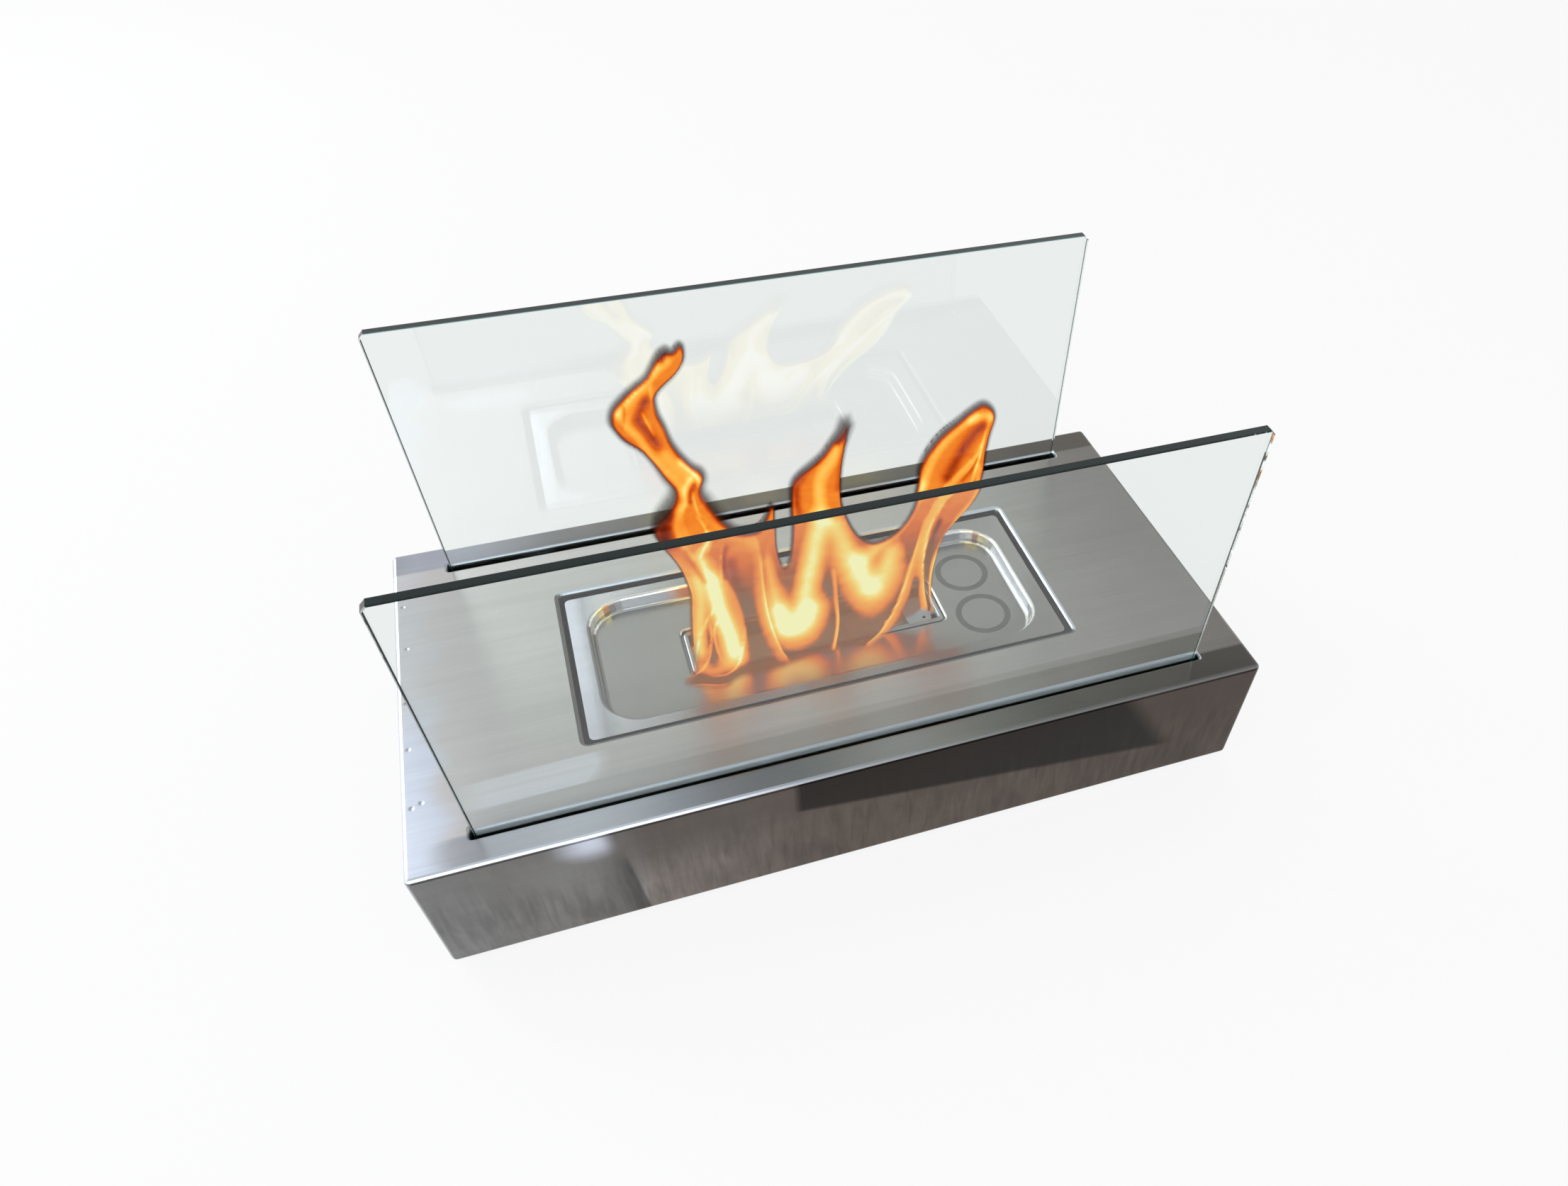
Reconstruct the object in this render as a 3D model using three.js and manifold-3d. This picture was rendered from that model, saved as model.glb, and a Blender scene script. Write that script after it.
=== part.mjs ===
// Bioethanol tabletop fireplace: a folded stainless steel box, two loose glass panes that stand in slots,
// and a lift-out burner, made of a drawn tray, an outer box and a fuel tank filled with ceramic wool.
// Millimetres, +Z up. The origin is the middle of the footprint, on the surface that the feet stand on.
// The width lies along X and the front is -Y.

import * as THREE from "three";
import { mergeVertices } from "three/addons/utils/BufferGeometryUtils.js";
import Module from "manifold-3d";

const wasm = await Module();
wasm.setup();

// Casing: one sheet folded down on four sides and turned in at the bottom
const casingWidth = 350;
const casingDepth = 180;
const casingHeight = 60;
const casingSheet = 1;
const casingBend = 1.8; // outer radius of the folds
const casingCorner = 2.2; // upright corners, welded and ground round
const returnFlange = 14; // how far the bottom edge is turned in
const reliefLength = 3; // corner cut off where three folds would meet
const reliefHeight = 1.2;

// Base plate and feet
const baseSheet = 1;
const baseInset = 3;
const baseCornerCut = 9;
const footHeight = 3;
const footRadius = 8;
const footInsetX = 26;
const footInsetY = 22;

// Glass panes and the slots, channels and pads that hold them
const glassWidth = 300;
const glassHeight = 144;
const glassThickness = 4;
const glassRise = 116; // above the casing's top
const glassArris = 0.4;
const glassCornerCut = 2;
const slotOffset = 75; // from the middle to each slot's centre line
const slotLength = 302.6;
const slotWidth = 5.6;
const slotCorner = 0.8;
const slotBend = 1.2;
const slotLipDepth = 3.4;
const gapBehindGlass = 0.3; // each pane leans on the rear edge of its slot
const channelLength = 308;
const channelInnerWidth = 8;
const channelFlange = 7;
const padLength = 24;
const padHeight = 5.8;
const padOffset = 112;
const padGrooveClearance = 0.2;
const padCornerCut = 0.9; // clears the channel's inner bends

// Opening in the casing's top for the burner
const openingWidth = 212;
const openingDepth = 87.5;
const openingCorner = 1.8;
const openingBend = 1.8;
const openingLipDepth = 7;

// Drawn tray of the burner
const traySheet = 0.8;
const trayWidth = 208;
const trayDepth = 83;
const trayCorner = 2.4;
const trayDrop = 2; // its flange lies this far below the casing's top
const basinWidth = 194;
const basinDepth = 73.6;
const basinCorner = 17;
const basinDrop = 6; // from the flange to the basin's floor
const basinWallDegrees = 80;
const rimBend = 1.6;
const floorBend = 1.4;
const mouthWidth = 116.2;
const mouthDepth = 27.8;
const mouthCorner = 2.8;
const mouthBend = 1;
const mouthLipDepth = 1.4;

// Rolled collar of the fuel tank, which stands in the tray's mouth
const collarGap = 0.6;
const collarBead = 1.2; // radius of the rolled edge
const collarSheet = 0.8;
const collarSkirt = 8;

// Outer box, fuel tank and what is in them
const boxSheet = 0.8;
const outerBoxWidth = 202;
const outerBoxDepth = 77;
const outerBoxCorner = 3;
const outerBoxHeight = 46.8;
const tankWidth = 186;
const tankDepth = 63;
const tankCorner = 4;
const tankHeight = 37;
const lidOverhang = 1;
const spacerLength = 52;
const spacerWidth = 12;
const spacerHeight = 1.1;
const spacerOffset = 68;
const woolTopBelowSkirt = 1;
const woolClearance = 0.4;
const woolEdge = 1.5;
const gaugeLength = 11.6;
const gaugeDepth = 16;
const gaugeSheet = 0.8;
const gaugeDrop = 4.2; // below the tray's floor
const gaugeCorner = 1.6;
const gaugeTabWidth = 2.4;
const gaugeTabOffset = 3.8;
const gaugeTabLength = 1.3;
const gaugeHoleRadius = 0.8;

// Brackets on the base plate that the burner stands on
const restHeight = 10;
const restTopWidth = 16;
const restFoot = 8;
const restLength = 64;
const restOffset = 70;
const restTabWidth = 12;
const restTabHeight = 9;
const restTabGap = 0.8;

// Small clearances
const seat = 0.1; // between pieces that are welded or stuck together
const clearance = 0.3; // between pieces that come apart
const overlap = 0.6; // how far joined solids run into each other
const smallestCorner = 0.4;

// Heights that follow from the sizes
const casingBottom = footHeight + baseSheet;
const casingTop = casingBottom + casingHeight;
const undersideOfTop = casingTop - casingSheet;
const glassBottom = casingTop + glassRise - glassHeight;
const burnerLevel = casingTop - trayDrop; // top face of the tray's flange

const steel = { color: 0xa9aaa6, roughness: 0.34, metalness: 1 };
const galvanised = { color: 0x8f9395, roughness: 0.5, metalness: 1 };
const clearGlass = { color: 0xe6ecea, roughness: 0.03, metalness: 0, transparent: true, opacity: 0.35 };
const rubber = { color: 0x1c1c1d, roughness: 0.85, metalness: 0 };
const silicone = { color: 0x3b3c3e, roughness: 0.7, metalness: 0 };
const ceramicWool = { color: 0xe7e5df, roughness: 0.95, metalness: 0 };

// ---- solids ----

// A closed geometry as a manifold-3d solid, turned the right way out.
function toSolid(geometry) {
  const bare = geometry.index ? geometry.toNonIndexed() : geometry.clone();
  bare.deleteAttribute("normal");
  bare.deleteAttribute("uv");
  const merged = mergeVertices(bare, 1e-4);
  const vertProperties = new Float32Array(merged.attributes.position.array);
  const triVerts = new Uint32Array(merged.index.array);
  const make = () => new wasm.Manifold(new wasm.Mesh({ numProp: 3, vertProperties, triVerts }));
  const made = make();
  if (made.volume() > 0) return made;
  for (let i = 0; i < triVerts.length; i += 3) {
    [triVerts[i + 1], triVerts[i + 2]] = [triVerts[i + 2], triVerts[i + 1]];
  }
  return make();
}

function toGeometry(solid) {
  const mesh = solid.getMesh();
  const geometry = new THREE.BufferGeometry();
  geometry.setAttribute("position", new THREE.BufferAttribute(mesh.vertProperties, 3));
  geometry.setIndex(new THREE.BufferAttribute(mesh.triVerts, 1));
  const flat = geometry.toNonIndexed();
  flat.computeVertexNormals();
  return flat;
}

// A closed ring of points: a rounded rectangle about the Z axis.
function roundedRectangle(halfX, halfY, corner, z, steps) {
  const points = [];
  const quarters = [[1, 1], [-1, 1], [-1, -1], [1, -1]];
  quarters.forEach(([signX, signY], quarter) => {
    for (let step = 0; step <= steps; step += 1) {
      const angle = (Math.PI / 2) * (quarter + step / steps);
      const x = signX * (halfX - corner) + corner * Math.cos(angle);
      const y = signY * (halfY - corner) + corner * Math.sin(angle);
      points.push(new THREE.Vector3(x, y, z));
    }
  });
  return points;
}

// Rings about one rectangle: each is a point [grow, z] of a profile, grow being how far it lies outside.
function ringsAbout({ width, depth, corner, steps = 4 }, profile) {
  return profile.map(([grow, z]) =>
    roundedRectangle(
      width / 2 + grow,
      depth / 2 + grow,
      Math.max(corner + grow, smallestCorner),
      z,
      steps,
    ),
  );
}

// A solid through rings with equal numbers of points. A hoop's last ring joins its first.
function loft(rings, isHoop) {
  const positions = rings.flat().flatMap((point) => point.toArray());
  const indices = [];
  const count = rings[0].length;
  const spans = isHoop ? rings.length : rings.length - 1;
  for (let ring = 0; ring < spans; ring += 1) {
    const low = ring * count;
    const high = ((ring + 1) % rings.length) * count;
    for (let i = 0; i < count; i += 1) {
      const next = (i + 1) % count;
      indices.push(low + i, low + next, high + next);
      indices.push(low + i, high + next, high + i);
    }
  }
  if (!isHoop) {
    const last = (rings.length - 1) * count;
    for (let i = 1; i < count - 1; i += 1) {
      indices.push(0, i + 1, i);
      indices.push(last, last + i, last + i + 1);
    }
  }
  const geometry = new THREE.BufferGeometry();
  geometry.setAttribute("position", new THREE.Float32BufferAttribute(positions, 3));
  geometry.setIndex(indices);
  return toSolid(geometry);
}

// Profile points on an arc about [grow, z], angles in degrees from outwards towards up.
function arc(grow, z, radius, from, to, steps = 3) {
  const points = [];
  for (let step = 0; step <= steps; step += 1) {
    const angle = THREE.MathUtils.degToRad(from + ((to - from) * step) / steps);
    points.push([grow + radius * Math.cos(angle), z + radius * Math.sin(angle)]);
  }
  return points;
}

function block(x0, x1, y0, y1, z0, z1) {
  const box = new THREE.BoxGeometry(x1 - x0, y1 - y0, z1 - z0);
  box.translate((x0 + x1) / 2, (y0 + y1) / 2, (z0 + z1) / 2);
  return toSolid(box);
}

function extrudeOutline(outline, length) {
  const shape = new THREE.Shape(outline.map(([u, v]) => new THREE.Vector2(u, v)));
  return new THREE.ExtrudeGeometry(shape, { depth: length, bevelEnabled: false });
}

// An outline in the Y-Z plane, extruded from x = -length / 2 to length / 2.
function extrudeAlongX(outline, length) {
  const geometry = extrudeOutline(outline, length).translate(0, 0, -length / 2);
  const turn = new THREE.Matrix4().makeBasis(
    new THREE.Vector3(0, 1, 0),
    new THREE.Vector3(0, 0, 1),
    new THREE.Vector3(1, 0, 0),
  );
  return toSolid(geometry.applyMatrix4(turn));
}

// An outline in the X-Z plane, extruded from y = -length / 2 to length / 2.
function extrudeAlongY(outline, length) {
  const geometry = extrudeOutline(outline, length).translate(0, 0, -length / 2);
  return toSolid(geometry.applyMatrix4(new THREE.Matrix4().makeRotationX(Math.PI / 2)));
}

// Outline of a bent strip of sheet: path is the middle of the sheet, with sharp corners.
function bentSheet(path, thickness, bend = thickness, steps = 3) {
  const left = [];
  const right = [];
  const add = (point, normal) => {
    left.push([point.x + (normal.x * thickness) / 2, point.y + (normal.y * thickness) / 2]);
    right.push([point.x - (normal.x * thickness) / 2, point.y - (normal.y * thickness) / 2]);
  };
  const points = path.map(([u, v]) => new THREE.Vector2(u, v));
  const directions = points.slice(1).map((point, i) => point.clone().sub(points[i]).normalize());
  const normalOf = (direction) => new THREE.Vector2(-direction.y, direction.x);
  add(points[0], normalOf(directions[0]));
  for (let i = 1; i < points.length - 1; i += 1) {
    const before = directions[i - 1];
    const turn = Math.atan2(before.cross(directions[i]), before.dot(directions[i]));
    const side = Math.sign(turn);
    const start = points[i].clone().addScaledVector(before, -bend * Math.tan(Math.abs(turn) / 2));
    const centre = start.clone().addScaledVector(normalOf(before), side * bend);
    for (let step = 0; step <= steps; step += 1) {
      const normal = normalOf(before).rotateAround(new THREE.Vector2(), (turn * step) / steps);
      add(centre.clone().addScaledVector(normal, -side * bend), normal);
    }
  }
  add(points[points.length - 1], normalOf(directions[directions.length - 1]));
  return [...right, ...left.reverse()];
}

function join(solids) {
  return solids.reduce((sum, solid) => sum.add(solid));
}

function cut(solid, cutters) {
  return cutters.reduce((rest, cutter) => rest.subtract(cutter), solid);
}

function piece(name, solid, look) {
  const mesh = new THREE.Mesh(toGeometry(solid), new THREE.MeshStandardMaterial(look));
  mesh.name = name;
  return mesh;
}

// ---- casing ----

// A sheet edge folded down round an opening in the casing's top.
function turnedDownLip(opening, bend, depth) {
  const z = casingTop - bend;
  return loft(
    ringsAbout(opening, [
      [bend + overlap, casingTop],
      ...arc(bend, z, bend, 90, 180),
      [0, casingTop - depth],
      [casingSheet, casingTop - depth],
      ...arc(bend, z, bend - casingSheet, 180, 90),
      [bend + overlap, undersideOfTop],
    ]),
    true,
  );
}

function holeInTop(opening, bend) {
  const profile = [[bend, undersideOfTop - 1], [bend, casingTop + 1]];
  return loft(ringsAbout(opening, profile), false);
}

// A cube whose lower inner side cuts the tip off one bottom corner of the casing.
function reliefCutter(signX, signY) {
  const size = 4 * reliefLength;
  const outwards = new THREE.Vector3(
    signX / reliefLength,
    signY / reliefLength,
    -1 / reliefHeight,
  ).normalize();
  const upright = new THREE.Vector3(0, 0, 1);
  const onPlane = new THREE.Vector3(
    signX * (casingWidth / 2 - reliefLength),
    (signY * casingDepth) / 2,
    casingBottom,
  );
  const geometry = new THREE.BoxGeometry(size, size, size)
    .translate(0, 0, size / 2)
    .applyQuaternion(new THREE.Quaternion().setFromUnitVectors(upright, outwards))
    .translate(onPlane.x, onPlane.y, onPlane.z);
  return toSolid(geometry);
}

function casingShell() {
  const outline = { width: casingWidth, depth: casingDepth, corner: casingCorner };
  const bendCentre = -casingBend;
  const upperBend = casingTop - casingBend;
  const lowerBend = casingBottom + casingBend;
  const innerBend = casingBend - casingSheet;
  const shell = loft(
    ringsAbout(outline, [
      ...arc(bendCentre, upperBend, casingBend, 90, 0),
      ...arc(bendCentre, lowerBend, casingBend, 0, -90),
      [-returnFlange, casingBottom],
      [-returnFlange, casingBottom + casingSheet],
      ...arc(bendCentre, lowerBend, innerBend, -90, 0),
      ...arc(bendCentre, upperBend, innerBend, 0, 90),
    ]),
    false,
  );
  const burnerOpening = { width: openingWidth, depth: openingDepth, corner: openingCorner };
  const slot = { width: slotLength, depth: slotWidth, corner: slotCorner };
  const slotHole = holeInTop(slot, slotBend);
  const slotLip = turnedDownLip(slot, slotBend, slotLipDepth);
  const reliefs = [[1, 1], [-1, 1], [-1, -1], [1, -1]].map((signs) => reliefCutter(...signs));
  const pierced = cut(shell, [
    holeInTop(burnerOpening, openingBend),
    slotHole.translate([0, -slotOffset, 0]),
    slotHole.translate([0, slotOffset, 0]),
    ...reliefs,
  ]);
  return join([
    pierced,
    turnedDownLip(burnerOpening, openingBend, openingLipDepth),
    slotLip.translate([0, -slotOffset, 0]),
    slotLip.translate([0, slotOffset, 0]),
  ]);
}

// Screwed under the casing's return flanges, with its corners cut off.
function basePlate() {
  const x = casingWidth / 2 - baseInset;
  const y = casingDepth / 2 - baseInset;
  const outline = [
    [x, y - baseCornerCut],
    [x - baseCornerCut, y],
    [baseCornerCut - x, y],
    [-x, y - baseCornerCut],
    [-x, baseCornerCut - y],
    [baseCornerCut - x, -y],
    [x - baseCornerCut, -y],
    [x, baseCornerCut - y],
  ];
  const thickness = baseSheet - seat;
  return toSolid(extrudeOutline(outline, thickness).translate(0, 0, footHeight));
}

function foot() {
  const profile = [
    [0, 0],
    [footRadius * 0.8, 0],
    [footRadius * 0.92, footHeight * 0.2],
    [footRadius, footHeight * 0.6],
    [footRadius, footHeight - seat],
    [0, footHeight - seat],
  ];
  const points = profile.map(([r, z]) => new THREE.Vector2(r, z));
  return toSolid(new THREE.LatheGeometry(points, 28).rotateX(Math.PI / 2));
}

// Hat-section channel under a slot. Its zero is the slot's centre line at the top sheet's underside.
function glassChannel() {
  const wall = channelInnerWidth / 2 + casingSheet / 2;
  const flange = -seat - casingSheet / 2;
  const floor = glassBottom - clearance - padHeight / 2 - casingSheet / 2 - undersideOfTop;
  const path = [
    [-wall - channelFlange, flange],
    [-wall, flange],
    [-wall, floor],
    [wall, floor],
    [wall, flange],
    [wall + channelFlange, flange],
  ];
  return extrudeAlongX(bentSheet(path, casingSheet), channelLength);
}

// Silicone pad in a channel, with a groove for the pane's lower edge. Its zero is the pane's lower edge.
function glassPad() {
  const half = channelInnerWidth / 2 - seat;
  const lean = paneLean();
  const groove = glassThickness / 2 + padGrooveClearance;
  const low = -clearance - padHeight / 2 + seat;
  const outline = [
    [-half - lean, low + padCornerCut],
    [padCornerCut - half - lean, low],
    [half - lean - padCornerCut, low],
    [half - lean, low + padCornerCut],
    [half - lean, low + padHeight],
    [groove, low + padHeight],
    [groove, -clearance],
    [-groove, -clearance],
    [-groove, low + padHeight],
    [-half - lean, low + padHeight],
  ];
  return extrudeAlongX(outline, padLength);
}

// How far a pane's middle lies behind its slot's centre line.
function paneLean() {
  return slotWidth / 2 - gapBehindGlass - glassThickness / 2;
}

// A pane stands on z = 0, with its edges arrised and its corners cut.
function glassPane() {
  const x = glassWidth / 2;
  const corner = glassCornerCut;
  const outline = [
    [x, corner],
    [x, glassHeight - corner],
    [x - corner, glassHeight],
    [corner - x, glassHeight],
    [-x, glassHeight - corner],
    [-x, corner],
    [corner - x, 0],
    [x - corner, 0],
  ];
  const shape = new THREE.Shape(outline.map(([u, v]) => new THREE.Vector2(u, v)));
  const geometry = new THREE.ExtrudeGeometry(shape, {
    depth: glassThickness - 2 * glassArris,
    bevelThickness: glassArris,
    bevelSize: glassArris,
    bevelOffset: -glassArris,
    bevelSegments: 1,
  });
  geometry.translate(0, 0, glassArris - glassThickness / 2);
  return toSolid(geometry.rotateX(Math.PI / 2));
}

// Hat-section bracket across the base plate, with a tab turned up at each end to keep the burner in place.
function burnerRest() {
  const middle = casingSheet / 2;
  const hat = [
    [-restTopWidth / 2 - restFoot, seat + middle],
    [-restTopWidth / 2, seat + middle],
    [-restTopWidth / 2, restHeight - middle],
    [restTopWidth / 2, restHeight - middle],
    [restTopWidth / 2, seat + middle],
    [restTopWidth / 2 + restFoot, seat + middle],
  ];
  const tabAt = outerBoxDepth / 2 + restTabGap + middle;
  const tabs = [
    [-tabAt, restHeight + restTabHeight],
    [-tabAt, restHeight - middle],
    [tabAt, restHeight - middle],
    [tabAt, restHeight + restTabHeight],
  ];
  return join([
    extrudeAlongY(bentSheet(hat, casingSheet), restLength),
    extrudeAlongX(bentSheet(tabs, casingSheet), restTabWidth),
  ]);
}

// ---- burner: heights are from the top face of the tray's flange ----

function burnerTray() {
  const flange = { width: trayWidth, depth: trayDepth, corner: trayCorner, steps: 8 };
  const basin = { width: basinWidth, depth: basinDepth, corner: basinCorner, steps: 8 };
  const mouth = { width: mouthWidth, depth: mouthDepth, corner: mouthCorner, steps: 8 };
  const lean = basinWallDegrees;
  const slope = THREE.MathUtils.degToRad(lean);
  const floorCentre = floorBend - basinDrop;
  const wallTop = [-rimBend * Math.sin(slope), rimBend * Math.cos(slope) - rimBend];
  const wallFall = wallTop[1] - (floorCentre - floorBend * Math.cos(slope));
  const floorStart = wallTop[0] - wallFall / Math.tan(slope) - floorBend * Math.sin(slope);
  const upperFace = [
    ...ringsAbout(flange, [[0, -traySheet], [0, 0]]),
    ...ringsAbout(basin, [
      ...arc(0, -rimBend, rimBend, 90, 90 + lean, 4),
      ...arc(floorStart, floorCentre, floorBend, lean - 90, -90, 4),
    ]),
    ...ringsAbout(mouth, arc(mouthBend, -basinDrop - mouthBend, mouthBend, 90, 180)),
  ];
  const lowerFace = [
    ...ringsAbout(mouth, [
      [0, -basinDrop - mouthLipDepth],
      [traySheet, -basinDrop - mouthLipDepth],
      ...arc(mouthBend, -basinDrop - mouthBend, mouthBend - traySheet, 180, 90),
    ]),
    ...ringsAbout(basin, [
      ...arc(floorStart, floorCentre, floorBend + traySheet, -90, lean - 90, 4),
      ...arc(0, -rimBend, rimBend - traySheet, 90 + lean, 90, 4),
    ]),
  ];
  return loft([...upperFace, ...lowerFace], true);
}

// Sheet box, open at the top, standing on z = 0.
function openBox(width, depth, height, corner) {
  const outline = { width, depth, corner };
  const bend = corner / 2;
  return loft(
    ringsAbout(outline, [
      ...arc(-bend, bend, bend, -90, 0),
      [0, height],
      [-boxSheet, height],
      ...arc(-bend, bend, bend - boxSheet, 0, -90),
    ]),
    false,
  );
}

const collarInside = {
  width: mouthWidth - 2 * (collarGap + 2 * collarBead),
  depth: mouthDepth - 2 * (collarGap + 2 * collarBead),
  corner: smallestCorner,
  steps: 6,
};
const beadCentre = -basinDrop - collarBead;
const lidTop = beadCentre - collarBead / 2 + seat;
const tankBottom = lidTop - boxSheet - seat - tankHeight;

// Rolled edge round the tank's mouth, with a skirt that hangs down inside it.
function slotCollar() {
  const foot = lidTop + seat;
  return loft(
    ringsAbout(collarInside, [
      [0, -basinDrop - collarSkirt],
      ...arc(collarBead, beadCentre, collarBead, 180, 0, 8),
      [2 * collarBead, foot],
      [collarSheet, foot],
      [collarSheet, -basinDrop - collarSkirt],
    ]),
    true,
  );
}

function tankLid() {
  const width = tankWidth + 2 * lidOverhang;
  const depth = tankDepth + 2 * lidOverhang;
  const rim = { width, depth, corner: tankCorner + lidOverhang };
  const hole = ringsAbout(collarInside, [
    [collarSheet + clearance, lidTop - boxSheet - 1],
    [collarSheet + clearance, lidTop + 1],
  ]);
  const plate = loft(ringsAbout(rim, [[0, lidTop - boxSheet], [0, lidTop]]), false);
  return cut(plate, [loft(hole, false)]);
}

function tankSpacer() {
  const x = spacerWidth / 2;
  const y = spacerLength / 2;
  const top = tankBottom - seat;
  return block(-x, x, -y, y, top - spacerHeight, top);
}

// Ceramic wool that soaks up the fuel, up to just below the collar's skirt.
function woolBlock() {
  const inset = boxSheet + woolClearance;
  const outline = {
    width: tankWidth - 2 * inset,
    depth: tankDepth - 2 * inset,
    corner: tankCorner - inset,
  };
  const top = -basinDrop - collarSkirt - woolTopBelowSkirt;
  const low = tankBottom + boxSheet + seat;
  const profile = [
    [-woolEdge, low],
    [0, low + woolEdge],
    [0, top - woolEdge],
    [-woolEdge, top],
  ];
  return loft(ringsAbout(outline, profile), false);
}

// Plate at the right end of the mouth that shows how high the fuel may stand, held by two tabs.
function fillGauge() {
  const wall = collarInside.width / 2 - 2 * seat;
  const right = wall - gaugeTabLength;
  const left = right - gaugeLength;
  const low = -basinDrop - gaugeDrop - gaugeSheet;
  const high = low + gaugeSheet;
  const outline = { width: gaugeLength, depth: gaugeDepth, corner: gaugeCorner };
  const plate = loft(ringsAbout(outline, [[0, low], [0, high]]), false);
  const hole = new THREE.CylinderGeometry(gaugeHoleRadius, gaugeHoleRadius, 2, 16)
    .rotateX(Math.PI / 2)
    .translate(right - 2 * gaugeCorner, gaugeCorner - gaugeDepth / 2 + gaugeHoleRadius, high);
  const tabs = [-gaugeTabOffset, gaugeTabOffset].map((y) =>
    block(right - overlap, wall, y - gaugeTabWidth / 2, y + gaugeTabWidth / 2, low, high),
  );
  const placed = plate.translate([(left + right) / 2, 0, 0]);
  return cut(join([placed, ...tabs]), [toSolid(hole)]);
}

// ---- assembly ----

const sides = [["front", -1], ["rear", 1]];
const ends = [["left", -1], ["right", 1]];

const fireplace = new THREE.Group();
const housing = new THREE.Group();
housing.add(piece("casing_shell", casingShell(), steel));
housing.add(piece("base_plate", basePlate(), galvanised));

for (const [side, signY] of sides) {
  const slotY = signY * slotOffset;
  const paneY = slotY + paneLean();

  const channel = piece(`${side}_glass_channel`, glassChannel(), galvanised);
  channel.position.set(0, slotY, undersideOfTop);
  housing.add(channel);

  const pane = piece(`${side}_glass`, glassPane(), clearGlass);
  pane.position.set(0, paneY, glassBottom);
  fireplace.add(pane);

  for (const [end, signX] of ends) {
    const pad = piece(`${side}_glass_pad_${end}`, glassPad(), silicone);
    pad.position.set(signX * padOffset, paneY, glassBottom);
    housing.add(pad);

    const rubberFoot = piece(`foot_${side}_${end}`, foot(), rubber);
    const x = casingWidth / 2 - footInsetX;
    const y = casingDepth / 2 - footInsetY;
    rubberFoot.position.set(signX * x, signY * y, 0);
    housing.add(rubberFoot);
  }
}

for (const [end, signX] of ends) {
  const rest = piece(`burner_rest_${end}`, burnerRest(), galvanised);
  rest.position.set(signX * restOffset, 0, casingBottom);
  housing.add(rest);
}

const burner = new THREE.Group();
burner.position.z = burnerLevel;
burner.add(piece("burner_tray", burnerTray(), steel));

const box = openBox(outerBoxWidth, outerBoxDepth, outerBoxHeight, outerBoxCorner);
const outerBox = piece("burner_outer_box", box, steel);
outerBox.position.z = -traySheet - seat - outerBoxHeight;
burner.add(outerBox);

const tank = piece("fuel_tank", openBox(tankWidth, tankDepth, tankHeight, tankCorner), steel);
tank.position.z = tankBottom;
burner.add(tank);

burner.add(piece("fuel_tank_lid", tankLid(), steel));
burner.add(piece("slot_collar", slotCollar(), steel));
burner.add(piece("ceramic_wool", woolBlock(), ceramicWool));
burner.add(piece("fill_gauge_plate", fillGauge(), steel));

for (const [end, signX] of ends) {
  const spacer = piece(`tank_spacer_${end}`, tankSpacer(), ceramicWool);
  spacer.position.x = signX * spacerOffset;
  burner.add(spacer);
}

fireplace.add(housing, burner);

export default fireplace;
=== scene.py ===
import math
from functools import reduce

import bmesh
import bpy
import numpy as np
from mathutils import Matrix, Vector
from mathutils.geometry import delaunay_2d_cdt
from mathutils.kdtree import KDTree


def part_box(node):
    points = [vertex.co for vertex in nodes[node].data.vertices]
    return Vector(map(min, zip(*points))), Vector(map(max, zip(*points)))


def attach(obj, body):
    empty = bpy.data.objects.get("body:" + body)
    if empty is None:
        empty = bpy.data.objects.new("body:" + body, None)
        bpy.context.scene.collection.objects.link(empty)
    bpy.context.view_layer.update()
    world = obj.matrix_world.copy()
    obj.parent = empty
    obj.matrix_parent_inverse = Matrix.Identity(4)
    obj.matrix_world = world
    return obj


# Tabletop bioethanol fireplace. Metres, +Z up, front towards -Y.

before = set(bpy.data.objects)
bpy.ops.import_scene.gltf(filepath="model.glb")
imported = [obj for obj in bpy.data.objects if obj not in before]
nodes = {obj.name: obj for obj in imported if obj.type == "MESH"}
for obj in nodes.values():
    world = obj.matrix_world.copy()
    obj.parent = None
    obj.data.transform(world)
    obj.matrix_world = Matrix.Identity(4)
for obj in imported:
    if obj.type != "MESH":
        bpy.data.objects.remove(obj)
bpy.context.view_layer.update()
scene = bpy.context.scene
mm = 0.001
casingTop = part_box("casing_shell")[1].z
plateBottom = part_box("base_plate")[0].z
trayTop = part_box("burner_tray")[1].z
print("frame loaded:", len(nodes), "nodes")


# ---- shader helpers ----


class Value:
    # A value in a shader; sums and products of it become nodes of its tree
    def __init__(self, socket):
        self.socket = socket
        self.tree = socket.id_data

    def __add__(self, other):
        return maths("ADD", self, other)

    def __sub__(self, other):
        return maths("SUBTRACT", self, other)

    def __rsub__(self, other):
        return maths("SUBTRACT", other, self)

    def __mul__(self, other):
        return maths("MULTIPLY", self, other)

    def __truediv__(self, other):
        return maths("DIVIDE", self, other)

    def __rtruediv__(self, other):
        return maths("DIVIDE", other, self)

    def __pow__(self, other):
        return maths("POWER", self, other)

    def __abs__(self):
        return maths("ABSOLUTE", self)

    def __gt__(self, other):
        return maths("GREATER_THAN", self, other)


class Outputs:
    # The outputs of a node, by name or number
    def __init__(self, node):
        self.sockets = node.outputs

    def __getitem__(self, key):
        return Value(self.sockets[key])


def addNode(tree, kind, inputs=None, **settings):
    node = tree.nodes.new(kind)
    for name, value in settings.items():
        setattr(node, name, value)
    for key, value in (inputs or {}).items():
        if isinstance(value, Value):
            value = value.socket
        if isinstance(value, bpy.types.NodeSocket):
            tree.links.new(value, node.inputs[key])
        else:
            node.inputs[key].default_value = value
    return node


def shader(tree, kind, inputs=None, **settings):
    return Outputs(addNode(tree, kind, inputs, **settings))


def treeOf(values):
    return next(value.tree for value in values if isinstance(value, Value))


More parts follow.
